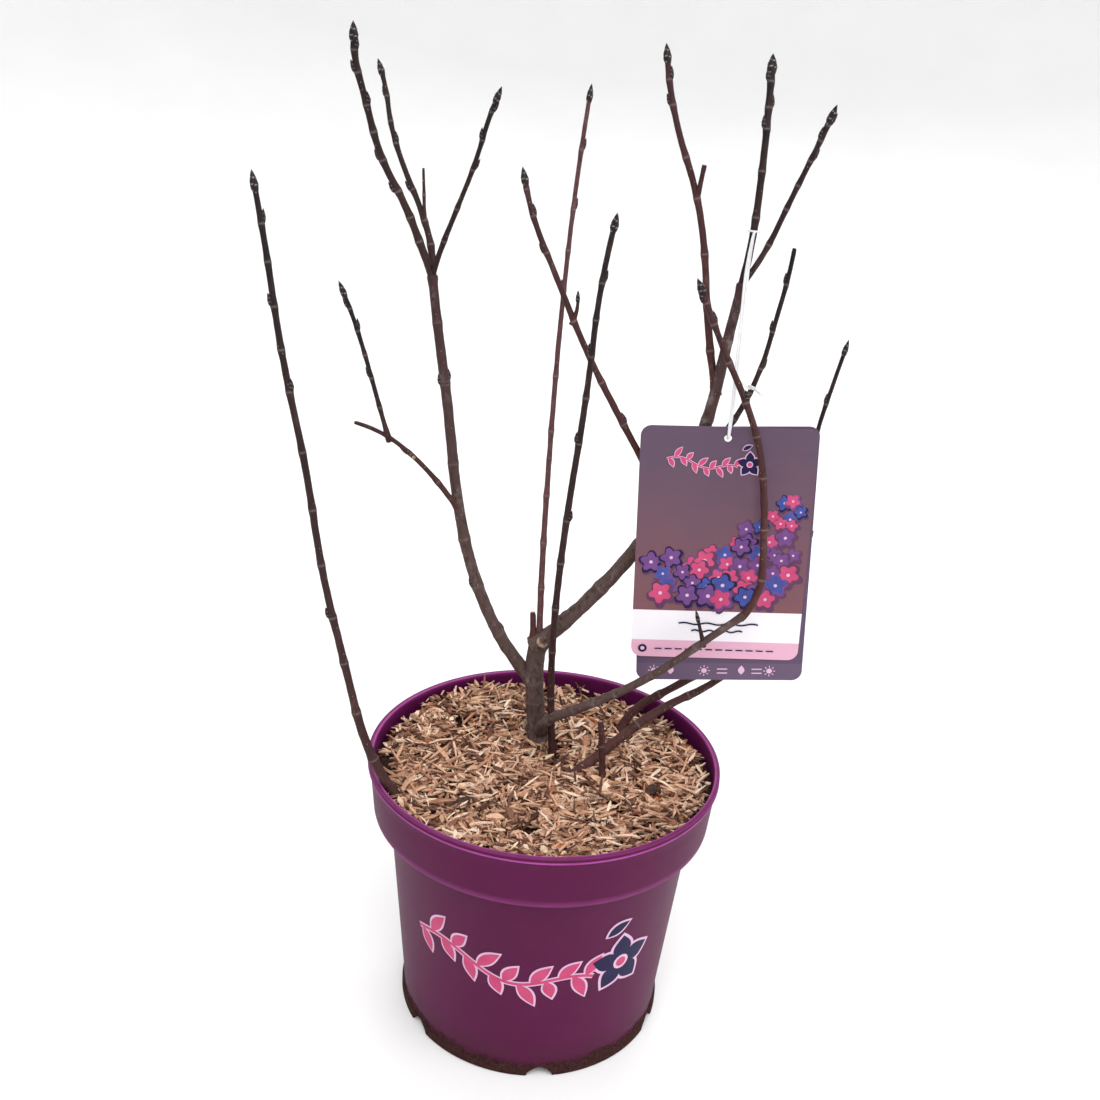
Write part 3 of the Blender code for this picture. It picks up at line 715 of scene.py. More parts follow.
class Skin:
    """Mesh being grown: points with their age, scar and edge numbers, and faces with their finish."""

    def __init__(self):
        self.points = []
        self.faces = []
        self.finishes = []
        self.numbers = {"age": [], "scar": [], "edge": []}

    def add_points(self, points, numbers):
        """Add points and what they carry, a number for all or a list, and give the first one's index."""
        first = len(self.points)
        self.points.extend(points)
        for name, values in self.numbers.items():
            given = numbers.get(name, 0.0)
            values.extend(given if isinstance(given, list) else [given] * len(points))
        return first

    def add_faces(self, faces, finish):
        self.faces.extend(faces)
        self.finishes.extend([finish] * len(faces))

    def cap(self, ring, centre, sides, finish, flipped=False, **numbers):
        middle = self.add_points([centre], numbers)
        fan = [(ring + step, ring + (step + 1) % sides, middle) for step in range(sides)]
        self.add_faces([face[::-1] for face in fan] if flipped else fan, finish)

    def ring(self, previous, centre, along, radii, finish, **numbers):
        """A ring of points that is joined to the one before it, or capped where it is the first."""
        ring = self.add_points(ring_round(centre, *square_to(along), radii), numbers)
        if previous is None:
            self.cap(ring, centre, len(radii), finish, flipped=True)
        else:
            self.add_faces(bridge(previous, ring, len(radii)), finish)
        return ring

    def piece(self, name, materials, slot, replaced):
        mesh = make_mesh(name, self.points, self.faces, materials, self.numbers)
        mesh.polygons.foreach_set("material_index", self.finishes)
        mesh.shade_smooth()
        mesh.set_sharp_from_angle(angle=math.radians(BARK_SHARP))
        mesh.update()
        settle(in_scene(name, mesh), replaced)


BARK, BUD, CUT = 0, 1, 2


def grow_bud(skin, foot, along, length, full, sides=18):
    """A pointed bud wrapped in scales, whose edges wind up it."""
    ring = None
    for step in range(BUD_RINGS):
        share = step / BUD_RINGS
        if share < BUD_WIDEST:
            body = full * (0.95 + (BUD_FULLNESS - 0.95) * math.sin(math.pi / 2 * share / BUD_WIDEST))
        else:
            body = full * BUD_FULLNESS * (1 - ((share - BUD_WIDEST) / (1 - BUD_WIDEST)) ** 1.6) ** 0.95
        winds = [(share * SCALES + side / sides) % 1.0 for side in range(sides)]
        radii = [max(body * (0.94 + 0.10 * (1 - wind)), 0.05) for wind in winds]
        edges = [float(wind > 0.9 and share > 0.08) for wind in winds]
        ring = skin.ring(ring, foot + along * (length * share), along, radii, BUD, edge=edges)
    skin.cap(ring, foot + along * length, sides, BUD, edge=1.0)


def grow_side_bud(skin, limb, share):
    """A bud that lies against its stem, on the left where its share is negative."""
    at = abs(share)
    along = heading(limb, at)
    right, back = square_to(along)
    out = (right if share > 0 else -right) + back * (0.5 if int(at * 100) % 2 else -0.4)
    out.normalize()
    radius = between(limb.thick, at) / 2
    grow_bud(skin, limb_point(limb, at) + out * radius * 0.72, (along + out * 0.16).normalized(), SIDE_BUD,
             max(min(radius, 1.9), 1.2) * 0.56, sides=14)


def grow_stub(skin, root, lean, away, length, width, age, sides=20):
    """A pruned stub: a short tube with a ragged, slightly hollow cut face."""
    along = steered(lean, away)
    ring = None
    for step in range(STUB_RINGS + 1):
        share = step / STUB_RINGS
        callus = 0.16 * hump(share - 0.93, 0.1)
        radii = [width / 2 * (1.25 - 0.3 * share + callus
                              + 0.08 * noise.noise(Vector((side * 0.9, share * 3, length))))
                 for side in range(sides)]
        ring = skin.ring(ring, root + along * length * share, along, radii, BARK, age=age)
    ring = skin.ring(ring, root + along * length * 0.985, along, [width * 0.36] * sides, CUT, age=age)
    skin.cap(ring, root + along * length * 0.9, sides, CUT)


def ring_places(limb, lead, straight, scars):
    """Distances at which a limb has a ring: even ones, and finer ones round each scar."""
    total = straight + lead
    steps = max(6, round(straight / RING_STEP))
    even = {total * step / steps for step in range(steps + 1)}
    near = {lead + node * limb.length + off for node in scars for off in NODE_RINGS}
    return sorted(even | {place for place in near if 0 < place < total})


def foot_swell(name, limb, gone, height):
    """Share by which a limb is wider at a distance from its start, and a height above it."""
    if name == "trunk":
        return FLARE * max(0.0, 1 - height / FLARE_LENGTH) ** 2
    if limb.standing:
        return 0.08 * hump(max(gone, 0), 6.0)
    collar = 0.1 if limb.start[1] == 1.0 else 0.42
    return collar * hump(max(gone, 0), 5.0)


def grow_limb(skin, name, seed):
    """One limb's bark with relief, scar rings, side buds and its end."""
    limb = LIMBS[name]
    bud = min(BUD_TIP, limb.length * 0.4) if limb.ends == "bud" else 0.0
    straight = limb.length - bud
    sides, mark = (OLD_SIDES, OLD_MARK) if name in OLD_WOOD else (SHOOT_SIDES, 1.0)
    scars = [abs(share) for share in (*limb.buds, *limb.nodes)]
    start = limb_start(limb)
    place = start - heading(limb, 0) * (BURIED if limb.standing else ROOTED)
    lead = (start - place).length
    ring, last = None, 0.0
    for gone in ring_places(limb, lead, straight, scars):
        share = max(0.0, (gone - lead) / limb.length)
        along = heading(limb, share)
        place = place + heading(limb, max(0.0, ((gone + last) / 2 - lead) / limb.length)) * (gone - last)
        last = gone
        radius = between(limb.thick, share) / 2
        radius *= 1 + foot_swell(name, limb, gone - lead, place.z - start.z)
        scar = 0.0
        for node in scars:
            off = (share - node) * limb.length
            radius *= 1 + mark * (NODE_SWELL * hump(off, 2.4) + 0.03 * hump(off, 0.5))
            scar = max(scar, mark * 0.6 * hump(off, 0.42))
        to_end = straight + lead - gone
        if limb.ends == "join":
            radius *= 1 + 0.22 * hump(to_end, 3.6)
        elif limb.ends == "cut":
            radius *= 1 - 0.18 * max(0.0, 1 - to_end / 0.7)
        age = between(limb.age, share)
        rough = 0.06 + 0.06 * age
        radii = []
        for turn in around(sides):
            spot = Vector((math.cos(turn) * radius * 0.55 + seed * 7.3, math.sin(turn) * radius * 0.55,
                           gone * 0.16))
            radii.append(radius * (1 + rough * (noise.noise(spot) + 0.5 * noise.noise(spot * 2.7))))
        ring = skin.ring(ring, place, along, radii, BARK, age=age, scar=scar)
    if limb.ends == "bud":
        grow_bud(skin, place - along * 0.6, along, bud + 0.6, limb.thick[-1] / 2)
    else:
        joined = limb.ends == "join"
        rise, peak = (0.9, 1.3) if joined else (0.05, -0.25)
        ring = skin.ring(ring, place + along * rise, along, [radius * END_SHARE] * sides, BARK, age=age)
        skin.cap(ring, place + along * peak, sides, BARK if joined else CUT, age=age if joined else 0.0)
    for share, lean, away, length, width in STUBS.get(name, ()):
        grow_stub(skin, limb_point(limb, share), lean, away, length, width, between(limb.age, share))
    for share in limb.buds:
        grow_side_bud(skin, limb, share)


def make_limbs(finishes):
    massed = {member for members in MASSES.values() for member in members}
    groups = {name: (name,) for name in LIMBS if name not in massed}
    groups.update(MASSES)
    for seed, (name, members) in enumerate(groups.items()):
        skin = Skin()
        for count, member in enumerate(members):
            grow_limb(skin, member, seed + count * 0.37)
        old = name in OLD_WOOD
        slot = "old_bark" if old else "twig_bark" if name in MASSES else "shoot_bark"
        bark = finishes["old_bark"] if old else finishes.get(name, finishes["twig_bark"])
        skin.piece(name + "_bark", (bark, finishes["bud"], finishes["cut"]), slot, (name,))


# Pot and what fills it

def inner_wall(height):
    """Radius of the pot's inside at a height above the drain shelf."""
    collar_foot = POT_HEIGHT - COLLAR_HEIGHT
    if height >= collar_foot:
        share = (height - collar_foot) / (COLLAR_HEIGHT - LIP_HEIGHT)
        outside = COLLAR_FOOT_RADIUS + (COLLAR_TOP_RADIUS - COLLAR_FOOT_RADIUS) * min(share, 1)
    else:
        share = (height - FOOT_HEIGHT) / (collar_foot - FOOT_HEIGHT)
        outside = WALL_FOOT_RADIUS + (WALL_TOP_RADIUS - WALL_FOOT_RADIUS) * share
    return outside - WALL


def outer_wall(height):
    """Radius of the plain wall below the collar, where the print goes."""
    share = (height - FOOT_HEIGHT - 14) / (POT_HEIGHT - COLLAR_HEIGHT - WALL - 1.2 - FOOT_HEIGHT - 14)
    return WALL_FOOT_RADIUS + 1.0 + (WALL_TOP_RADIUS - WALL_FOOT_RADIUS - 1.0) * share


def pot_profile():
    collar_foot = POT_HEIGHT - COLLAR_HEIGHT
    shoulder = collar_foot - WALL
    shelf_edge = FOOT_RADIUS - NOTCH_REACH
    top, lip_foot = POT_HEIGHT, POT_HEIGHT - LIP_HEIGHT
    edge = COLLAR_TOP_RADIUS - WALL
    # Each corner is radius, height, strength of the painted lip highlight there, and 1 on the inside
    return [
        (0, FLOOR, 0, 1), (shelf_edge - 7, FLOOR, 0, 1), (shelf_edge, DRAIN_SHELF, 0, 1),
        (inner_wall(DRAIN_SHELF), DRAIN_SHELF, 0, 1), (WALL_TOP_RADIUS - WALL, collar_foot, 0, 1),
        (inner_wall(collar_foot), collar_foot, 0, 1), (edge, top - 3.0, 0, 1), (edge, top - 0.9, 0.2, 0.6),
        (edge + 0.15, top - 0.35, 0.9, 0), (edge + 0.5, top - 0.05, 1, 0), (edge + 0.9, top, 0.6, 0),
        (LIP_RADIUS - 1.2, top, 0.15, 0), (LIP_RADIUS - 0.5, top - 0.1, 0.3, 0),
        (LIP_RADIUS - 0.12, top - 0.4, 0.2, 0), (LIP_RADIUS - 0.1, top - 1.0, 0, 0),
        (LIP_RADIUS - 0.45, top - 1.5, 0, 0), (LIP_RADIUS - 0.45, top - 2.2, 0, 0),
        (LIP_RADIUS - 0.05, top - 2.6, 0.9, 0), (LIP_RADIUS, lip_foot + 0.5, 1, 0),
        (LIP_RADIUS - 0.3, lip_foot + 0.1, 0.5, 0), (COLLAR_TOP_RADIUS + 0.1, lip_foot, 0, 0),
        (COLLAR_TOP_RADIUS - 0.1, lip_foot - 0.4, 0, 0), (COLLAR_TOP_RADIUS - 0.5, top - 10, 0, 0),
        (COLLAR_FOOT_RADIUS + 0.2, collar_foot + 4, 0, 0), (COLLAR_FOOT_RADIUS, collar_foot + 1.4, 0.25, 0),
        (COLLAR_FOOT_RADIUS - 0.25, collar_foot + 0.2, 0.35, 0),
        (COLLAR_FOOT_RADIUS - 0.8, collar_foot - 0.6, 0.1, 0),
        (WALL_TOP_RADIUS + 1.5, shoulder, 0, 0), (WALL_TOP_RADIUS + 0.3, shoulder - 0.4, 0, 0),
        (WALL_TOP_RADIUS, shoulder - 1.2, 0, 0), (WALL_FOOT_RADIUS + 1.0, FOOT_HEIGHT + 14, 0, 0),
        (WALL_FOOT_RADIUS + 0.3, FOOT_HEIGHT + 5, 0, 0), (WALL_FOOT_RADIUS, FOOT_HEIGHT + 3, 0, 0),
        (WALL_FOOT_RADIUS + 0.2, FOOT_HEIGHT, 0, 0), (FOOT_RADIUS - 0.2, FOOT_HEIGHT - 1.0, 0, 0),
        (FOOT_RADIUS, FOOT_HEIGHT - 1.8, 0, 0), (FOOT_RADIUS, 0.6, 0, 0),
        (FOOT_RADIUS - 0.6, 0, 0, 0), (FOOT_RADIUS - 8, 0, 0, 0), (0, 0, 0, 0),
    ]


def make_pot(finish):
    """The pot turned finely, with its drain notches cut."""
    profile = pot_profile()
    # The profile's third column carries the painted lip highlight, its fourth the inside
    numbers = {name: [float(corner[column]) for corner in profile] * POT_SIDES
               for column, name in ((2, "worn"), (3, "inside"))}
    pot = in_scene("nursery_pot", turned_mesh("nursery_pot", profile, POT_SIDES, numbers))
    notches = bpy.data.collections.new("drain_notches")
    bpy.context.scene.collection.children.link(notches)
    for step in range(NOTCHES):
        bearing = math.radians(FIRST_NOTCH + 360 / NOTCHES * step)
        bpy.ops.mesh.primitive_cylinder_add(vertices=NOTCH_SIDES, radius=NOTCH_RADIUS * MM,
                                            depth=2 * NOTCH_REACH * MM)
        notch = bpy.context.object
        notch.rotation_euler = (math.pi / 2, 0, bearing + math.pi / 2)
        notch.location = (FOOT_RADIUS * MM * math.cos(bearing), FOOT_RADIUS * MM * math.sin(bearing),
                          (NOTCH_RISE - NOTCH_RADIUS) * MM)
        for home in list(notch.users_collection):
            home.objects.unlink(notch)
        notches.objects.link(notch)
    cut = pot.modifiers.new("cut", "BOOLEAN")
    cut.operand_type = "COLLECTION"
    cut.collection = notches
    cut.solver = "EXACT"
    cut_mesh = evaluated_mesh(pot, finish)
    pot.modifiers.clear()
    pot.data = cut_mesh
    for notch in list(notches.objects):
        bpy.data.objects.remove(notch)
    bpy.data.collections.remove(notches)
    cut_mesh.shade_smooth()
    cut_mesh.set_sharp_from_angle(angle=math.radians(POT_SHARP))
    settle(pot, ("pot",))


def make_soil(finish):
    """The crumbly surface that shows between the chips."""
    edge = inner_wall(MEDIUM_LEVEL) - CLEAR
    points = [(0, 0, ground(0, 0) - 1.2)]
    for ring in range(1, SOIL_RINGS + 1):
        reach = edge * ring / SOIL_RINGS
        for turn in around(SOIL_SIDES):
            x, y = reach * math.cos(turn), reach * math.sin(turn)
            lift = noise.noise(Vector((x * 0.14, y * 0.14, 3.0))) * 1.4
            points.append((x, y, ground(x, y) - 2.2 + lift + 0.6 * mound(x, y)))
    make_piece("soil_surface", points, disc_faces(0, SOIL_RINGS, SOIL_SIDES), finish,
               ("growing_medium",))


def mound(x, y):
    """How far the chips are heaped above the even surface, at the back left and round the front."""
    return sum(height * heap(x, y, place, spread) for height, place, spread in MOUNDS)


def lying(x, y, lift, turn):
    """Place of something that lies on the ground and is turned on it."""
    return Matrix.Translation((x, y, ground(x, y) + lift)) @ Matrix.Rotation(turn, 4, "Z")


def make_chips(finish):
    """Thousands of split wood slivers lying over each other."""
    deal = random.Random(11)
    points, faces, tones = [], [], []
    feet = [(limb_start(limb), limb.thick[0] / 2) for limb in LIMBS.values() if limb.standing]
    made = 0
    while made < CHIPS:
        long = deal.random() < LONG_CHIPS
        length = deal.uniform(9, 19) if long else deal.uniform(3.0, 9.5)
        width = deal.uniform(0.7, 1.7) if long else deal.uniform(0.7, 2.3)
        if deal.random() < WIDE_CHIPS:
            width = deal.uniform(2.6, 4.6)
        thick = deal.uniform(0.5, 1.2)
        from_middle = (CHIP_REACH - length * 0.42) * math.sqrt(deal.random())
        bearing = deal.uniform(0, 2 * math.pi)
        x, y = from_middle * math.cos(bearing), from_middle * math.sin(bearing)
        if any(math.hypot(x - foot.x, y - foot.y) < radius * 0.8 for foot, radius in feet):
            continue
        if noise.noise(Vector((x * 0.09, y * 0.09, 5.0))) > deal.uniform(0.22, 0.5):
            continue
        made += 1
        yaw = deal.uniform(0, 2 * math.pi)
        pitch = math.radians(max(-38, min(38, deal.gauss(0, 14))))
        roll = math.radians(deal.gauss(0, 30))
        lift = deal.uniform(-1.4, 2.8) + noise.noise(Vector((x * 0.05, y * 0.05, 9.0))) * 2.4 + mound(x, y)
        placed = lying(x, y, lift, yaw) @ Matrix.Rotation(pitch, 4, "Y") @ Matrix.Rotation(roll, 4, "X")
        bow = deal.uniform(-0.06, 0.1) * length
        faces.extend(tube_faces(len(points), CHIP_ROWS, 4))
        for row in range(CHIP_ROWS):
            along = row / (CHIP_ROWS - 1)
            at_end = row in (0, CHIP_ROWS - 1)
            full = (0.35 if at_end else 1.0) * deal.uniform(0.75, 1.1)
            half = width / 2 * (full if row else full * deal.uniform(0.5, 1.5))
            skew = deal.uniform(-0.12, 0.12) * width
            rise = bow * math.sin(math.pi * along)
            slant = deal.uniform(-0.8, 0.8) if at_end else 0
            for side, up in ((-1, -1), (1, -1), (1, 1), (-1, 1)):
                points.append(placed @ Vector((
                    length * (along - 0.5) + side * slant, side * half + skew,
                    rise + up * thick / 2 * deal.uniform(0.7, 1.1))))
        dark = deal.random() < DARK_CHIPS
        tone = deal.uniform(0, 0.2) if dark else min(0.93, max(0.1, deal.gauss(0.56, 0.24)))
        if deal.random() < RED_CHIPS:
            tone = 1.0
        tones.extend([tone] * (CHIP_ROWS * 4))
    make_piece("wood_chips", points, faces, finish, numbers={"tone": tones}, smooth=False)


def make_scraps(finish):
    """A few curled scraps of dead leaf and dark sticks on the chips."""
    deal = random.Random(5)
    points, faces = [], []
    for x, y, size, turn in ((-40, -47, 13, 0.4), (-28, -36, 7, 1.7), (30, -52, 8, 2.6), (58, -22, 9, 0.9)):
        placed = lying(x, y, 1.6, turn)
        rows, columns = 9, 7
        faces.extend(quads_over(len(points), rows, columns, closed=False, flipped=True))
        for row in range(rows):
            for column in range(columns):
                u, v = row / (rows - 1) - 0.5, column / (columns - 1) - 0.5
                ragged = 1 + 0.25 * noise.noise(Vector((row * 0.9, column * 0.8, size)))
                aside = v * size * 0.62 * (1.2 - abs(u) * 1.4) * ragged
                points.append(placed @ Vector((
                    u * size * ragged, aside, 1.2 + 8.0 * v * v + math.sin(u * 5) * 0.9)))
    for x, y, length, turn in ((-34, -40, 17, 1.2), (52, 8, 14, 2.2), (-52, 30, 15, 0.5), (8, -60, 12, 2.9)):
        placed = lying(x, y, 2.6, turn)
        rings, sides = 6, 8
        faces.extend(tube_faces(len(points), rings, sides))
        for ring in range(rings):
            along = ring / (rings - 1)
            radius = 0.75 * (1 - 0.35 * along) * deal.uniform(0.85, 1.1)
            middle = Vector((length * (along - 0.5), math.sin(along * 4) * 0.6, 0))
            points.extend(placed @ point for point in ring_round(
                middle, Vector((0, 1, 0)), Vector((0, 0, 1)), [radius] * sides))
    make_piece("dark_scraps", points, faces, finish)


# Prints: shapes laid on a surface

class Print:
    """Flat shapes laid on a surface that laid(u, v, lift) gives, in millimetres.

    layers counts the shapes up from the lowest, and is shared by the inks of one surface.
    """

    def __init__(self, laid, layers):
        self.laid = laid
        self.layers = layers
        self.points = []
        self.faces = []

    def patch(self, middle, half_width, lift, steps=14, across=4):
        """A strip along a path: middle(share) is its place, half_width(share) its half width."""
        self.faces.extend(quads_over(len(self.points), steps + 1, across + 1, closed=False))
        lift += next(self.layers) * SHAPE_STEP
        for step in range(steps + 1):
            share = step / steps
            u, v = middle(share)
            u2, v2 = middle(min(1.0, share + 0.02))
            u1, v1 = middle(max(0.0, share - 0.02))
            run = math.hypot(u2 - u1, v2 - v1) or 1.0
            side_u, side_v = (v1 - v2) / run, (u2 - u1) / run
            for column in range(across + 1):
                off = (column / across * 2 - 1) * half_width(share)
                self.points.append(self.laid(u + side_u * off, v + side_v * off, lift))

    def leaf(self, u, v, turn, length, width, lift, bend=0.04):
        cos, sin = math.cos(turn), math.sin(turn)

        def middle(share):
            along, aside = length * share, bend * length * math.sin(math.pi * share)
            return u + cos * along - sin * aside, v + sin * along + cos * aside

        self.patch(middle, lambda share: width / 2 * math.sin(math.pi * share ** 0.9) + 0.02, lift)

    def stroke(self, u, v, length, half=0.35, wave=0.0, steps=2):
        """A level stroke that starts at a place, straight or slightly wavy."""
        self.patch(lambda share: (u + length * share, v + wave * math.sin(share * 22)),
                   lambda share: half, PRINT_LIFT, steps, 1)

    def disc(self, u, v, radius, lift, steps=28, lobes=0, turned=0.0):
        self.faces.extend(disc_faces(len(self.points), DISC_RINGS, steps))
        lift += next(self.layers) * SHAPE_STEP
        self.points.append(self.laid(u, v, lift))
        for ring in range(1, DISC_RINGS + 1):
            for turn in around(steps):
                notch = 0.36 * abs(math.sin(lobes * (turn - turned) / 2)) ** 3 if lobes else 0.0
                reach = radius * ring / DISC_RINGS * (1 - notch)
                self.points.append(self.laid(u + reach * math.cos(turn), v + reach * math.sin(turn), lift))

    def piece(self, name, finish, slot):
        make_piece(name, self.points, self.faces, finish)


def prints(laid, count):
    """As many inks as are asked for on one surface."""
    layers = itertools.count()
    return [Print(laid, layers) for ink in range(count)]


def on_pot(u, v, lift):
    """Place on the pot's wall: u millimetres round to the right from the front, v up from the foot."""
    radius = outer_wall(v) + lift
    turn = u / PRINT_GIRTH - math.pi / 2
    return Vector((radius * math.cos(turn), radius * math.sin(turn), v))


def garland(rims, leaves, darks, start, scale, count):
    """A wavy vine of slim pale-edged leaves that ends in a five-petalled blossom."""
    start_u, start_v = start

    def vine(share):
        return start_u + 100 * scale * share, start_v - scale * (14 * share - 5.0 * math.sin(share * 8.5))

    leaf_places = []
    for leaf in range(count):
        u, v = vine((leaf + 0.4) / count)
        side = 1 if leaf % 2 else -1
        turn = side * (0.98 + 0.14 * math.sin(leaf * 2.1)) - 0.12
        leaf_places.append((u, v, turn, (14.5 + 2.4 * math.sin(leaf * 1.7)) * scale))
    rims.patch(vine, lambda share: 1.7 * scale, PRINT_LIFT, 80, 2)
    for u, v, turn, length in leaf_places:
        rims.leaf(u - math.cos(turn) * scale, v - math.sin(turn) * scale, turn, length + 2.6 * scale,
                  8.4 * scale, PRINT_LIFT)
    leaves.patch(vine, lambda share: 0.9 * scale, INK_LIFT, 80, 2)
    for u, v, turn, length in leaf_places:
        leaves.leaf(u, v, turn, length, 6.2 * scale, INK_LIFT)
    u, v = start_u + 116 * scale, start_v - 6 * scale
    for petal in range(5):
        rims.leaf(u, v, petal * 2 * math.pi / 5 + 0.35, 20 * scale, 14.6 * scale, PRINT_LIFT, 0.0)
    for petal in range(5):
        turn = petal * 2 * math.pi / 5 + 0.35
        darks.leaf(u + math.cos(turn) * 1.6 * scale, v + math.sin(turn) * 1.6 * scale, turn,
                   16.4 * scale, 11.2 * scale, INK_LIFT, 0.0)
    rims.disc(u, v, 4.6 * scale, 1.5 * INK_LIFT)
    leaves.disc(u, v, 3.0 * scale, 2 * INK_LIFT)
    rims.leaf(u - 12 * scale, v + 20 * scale, 0.5, 17 * scale, 8.4 * scale, PRINT_LIFT)
    darks.leaf(u - 10.8 * scale, v + 20.6 * scale, 0.5, 14 * scale, 5.8 * scale, INK_LIFT)


def make_pot_print(inks):
    rims, leaves, darks = prints(on_pot, 3)
    garland(rims, leaves, darks, (-66, 78), 1.0, 14)
    rims.piece("pot_print_edges", inks["pale"], "pot_plastic")
    leaves.piece("pot_print_leaves", inks["pink"], "pot_plastic")
    darks.piece("pot_print_blossom", inks["navy"], "pot_plastic")


# Hang label

def label_frame(lean, behind=0.0):
    """Turn and place of a leaf: its own origin is the middle of its top edge."""
    x, z = LABEL_TOP_MIDDLE
    turn = Matrix.Rotation(math.radians(-lean), 4, "Y") @ Matrix.Rotation(math.pi / 2, 4, "X")
    return Matrix.Translation((x, LABEL_PLANE + behind, z)) @ turn


def label_leaf(name, drop_length, lean, behind, finish, replaced):
    """A thin leaf with round corners, a punched hole and softened edges."""
    curve = bpy.data.curves.new(name, "CURVE")
    curve.dimensions = "2D"
    curve.fill_mode = "BOTH"
    curve.extrude = (LABEL_THICK / 2 - LEAF_EDGE) * MM
    curve.bevel_depth = LEAF_EDGE * MM
    curve.bevel_resolution = 1
    curve.offset = -LEAF_EDGE * MM
    half = LABEL_WIDTH / 2 - LABEL_CORNER
    corners = ((half, -LABEL_CORNER, 0), (-half, -LABEL_CORNER, 90),
               (-half, LABEL_CORNER - drop_length, 180), (half, LABEL_CORNER - drop_length, 270))
    outline = []
    for x, y, first in corners:
        for step in range(CORNER_STEPS + 1):
            turn = math.radians(first + 90 / CORNER_STEPS * step)
            outline.append((x + LABEL_CORNER * math.cos(turn), y + LABEL_CORNER * math.sin(turn)))
    hole = [(HOLE_ASIDE + HOLE_RADIUS * math.cos(turn), HOLE_RADIUS * math.sin(turn) - HOLE_DROP)
            for turn in around(HOLE_SIDES)]
    for points in (outline, hole):
        spline = curve.splines.new("POLY")
        spline.points.add(len(points) - 1)
        for point, (x, y) in zip(spline.points, points):
            point.co = (x * MM, y * MM, 0, 1)
        spline.use_cyclic_u = True
    drawn = in_scene(name + "_outline", curve)
    mesh = evaluated_mesh(drawn, finish)
    bpy.data.objects.remove(drawn)
    placed = label_frame(lean, behind)
    placed.translation *= MM
    leaf = in_scene(name, mesh)
    leaf.matrix_world = placed
    settle(leaf, replaced)


def on_label(lean, behind, side=1):
    """Places on a leaf's front, or on its reverse where side is -1."""
    placed = label_frame(lean, behind)
    return lambda u, v, lift: placed @ Vector((side * u, v, side * (LABEL_THICK / 2 + lift)))


def care_marks(marks, level):
    """Small suns, leaves and pairs of strokes in a row."""
    for count, u in enumerate((-35.0, -26.0, -8.0, 12.0, 27.0)):
        if count % 2:
            marks.leaf(u, level - 2.2, math.pi / 2, 5.4, 3.4, PRINT_LIFT, 0.0)
        else:
            marks.disc(u, level, 1.5, PRINT_LIFT)
            for turn in around(8):
                marks.leaf(u + 2.0 * math.cos(turn), level + 2.0 * math.sin(turn), turn, 1.3, 0.6,
                           PRINT_LIFT, 0.0)
    for u in (-1.0, 17.5):
        for row in range(2):
            marks.stroke(u, level + 1.0 - 2.4 * row, 5.5)


def strew_blossoms(plums, violets, pinks, blues, darks, pales):
    """Rows of five-lobed blossoms, fuller and larger towards the foot and the right."""
    deal = random.Random(23)
    rows = 9
    for row in range(rows):
        near = row / (rows - 1)
        size = 4.3 + 2.5 * near
        across = round(11 - 2.5 * near)
        for column in range(across):
            u = (column + 0.5 + 0.5 * (row % 2)) / across * 84 - 44 + deal.uniform(-2.2, 2.2)
            v = -40.0 - 53.0 * near + deal.uniform(-2.4, 2.4)
            radius, turned = size * deal.uniform(0.85, 1.2), deal.uniform(0, 1.2)
            hidden = near < 0.55 and u < 34 - 90 * near + deal.uniform(-9, 9)
            inner, outer = deal.choice(((pinks, plums), (blues, darks), (violets, darks), (blues, violets),
                                        (pinks, violets), (violets, plums)))
            if hidden or abs(u) > LABEL_WIDTH / 2 - 1.5 - radius:
                continue
            plums.disc(u + 0.5, v - 0.9, radius * 1.06, PRINT_LIFT, 30, 5, turned)
            outer.disc(u, v, radius, PRINT_LIFT, 30, 5, turned)
            inner.disc(u - 0.3, v + 0.4, radius * 0.8, PRINT_LIFT, 30, 5, turned)
            pales.disc(u - 0.2, v + 0.3, radius * 0.13, PRINT_LIFT, 10)


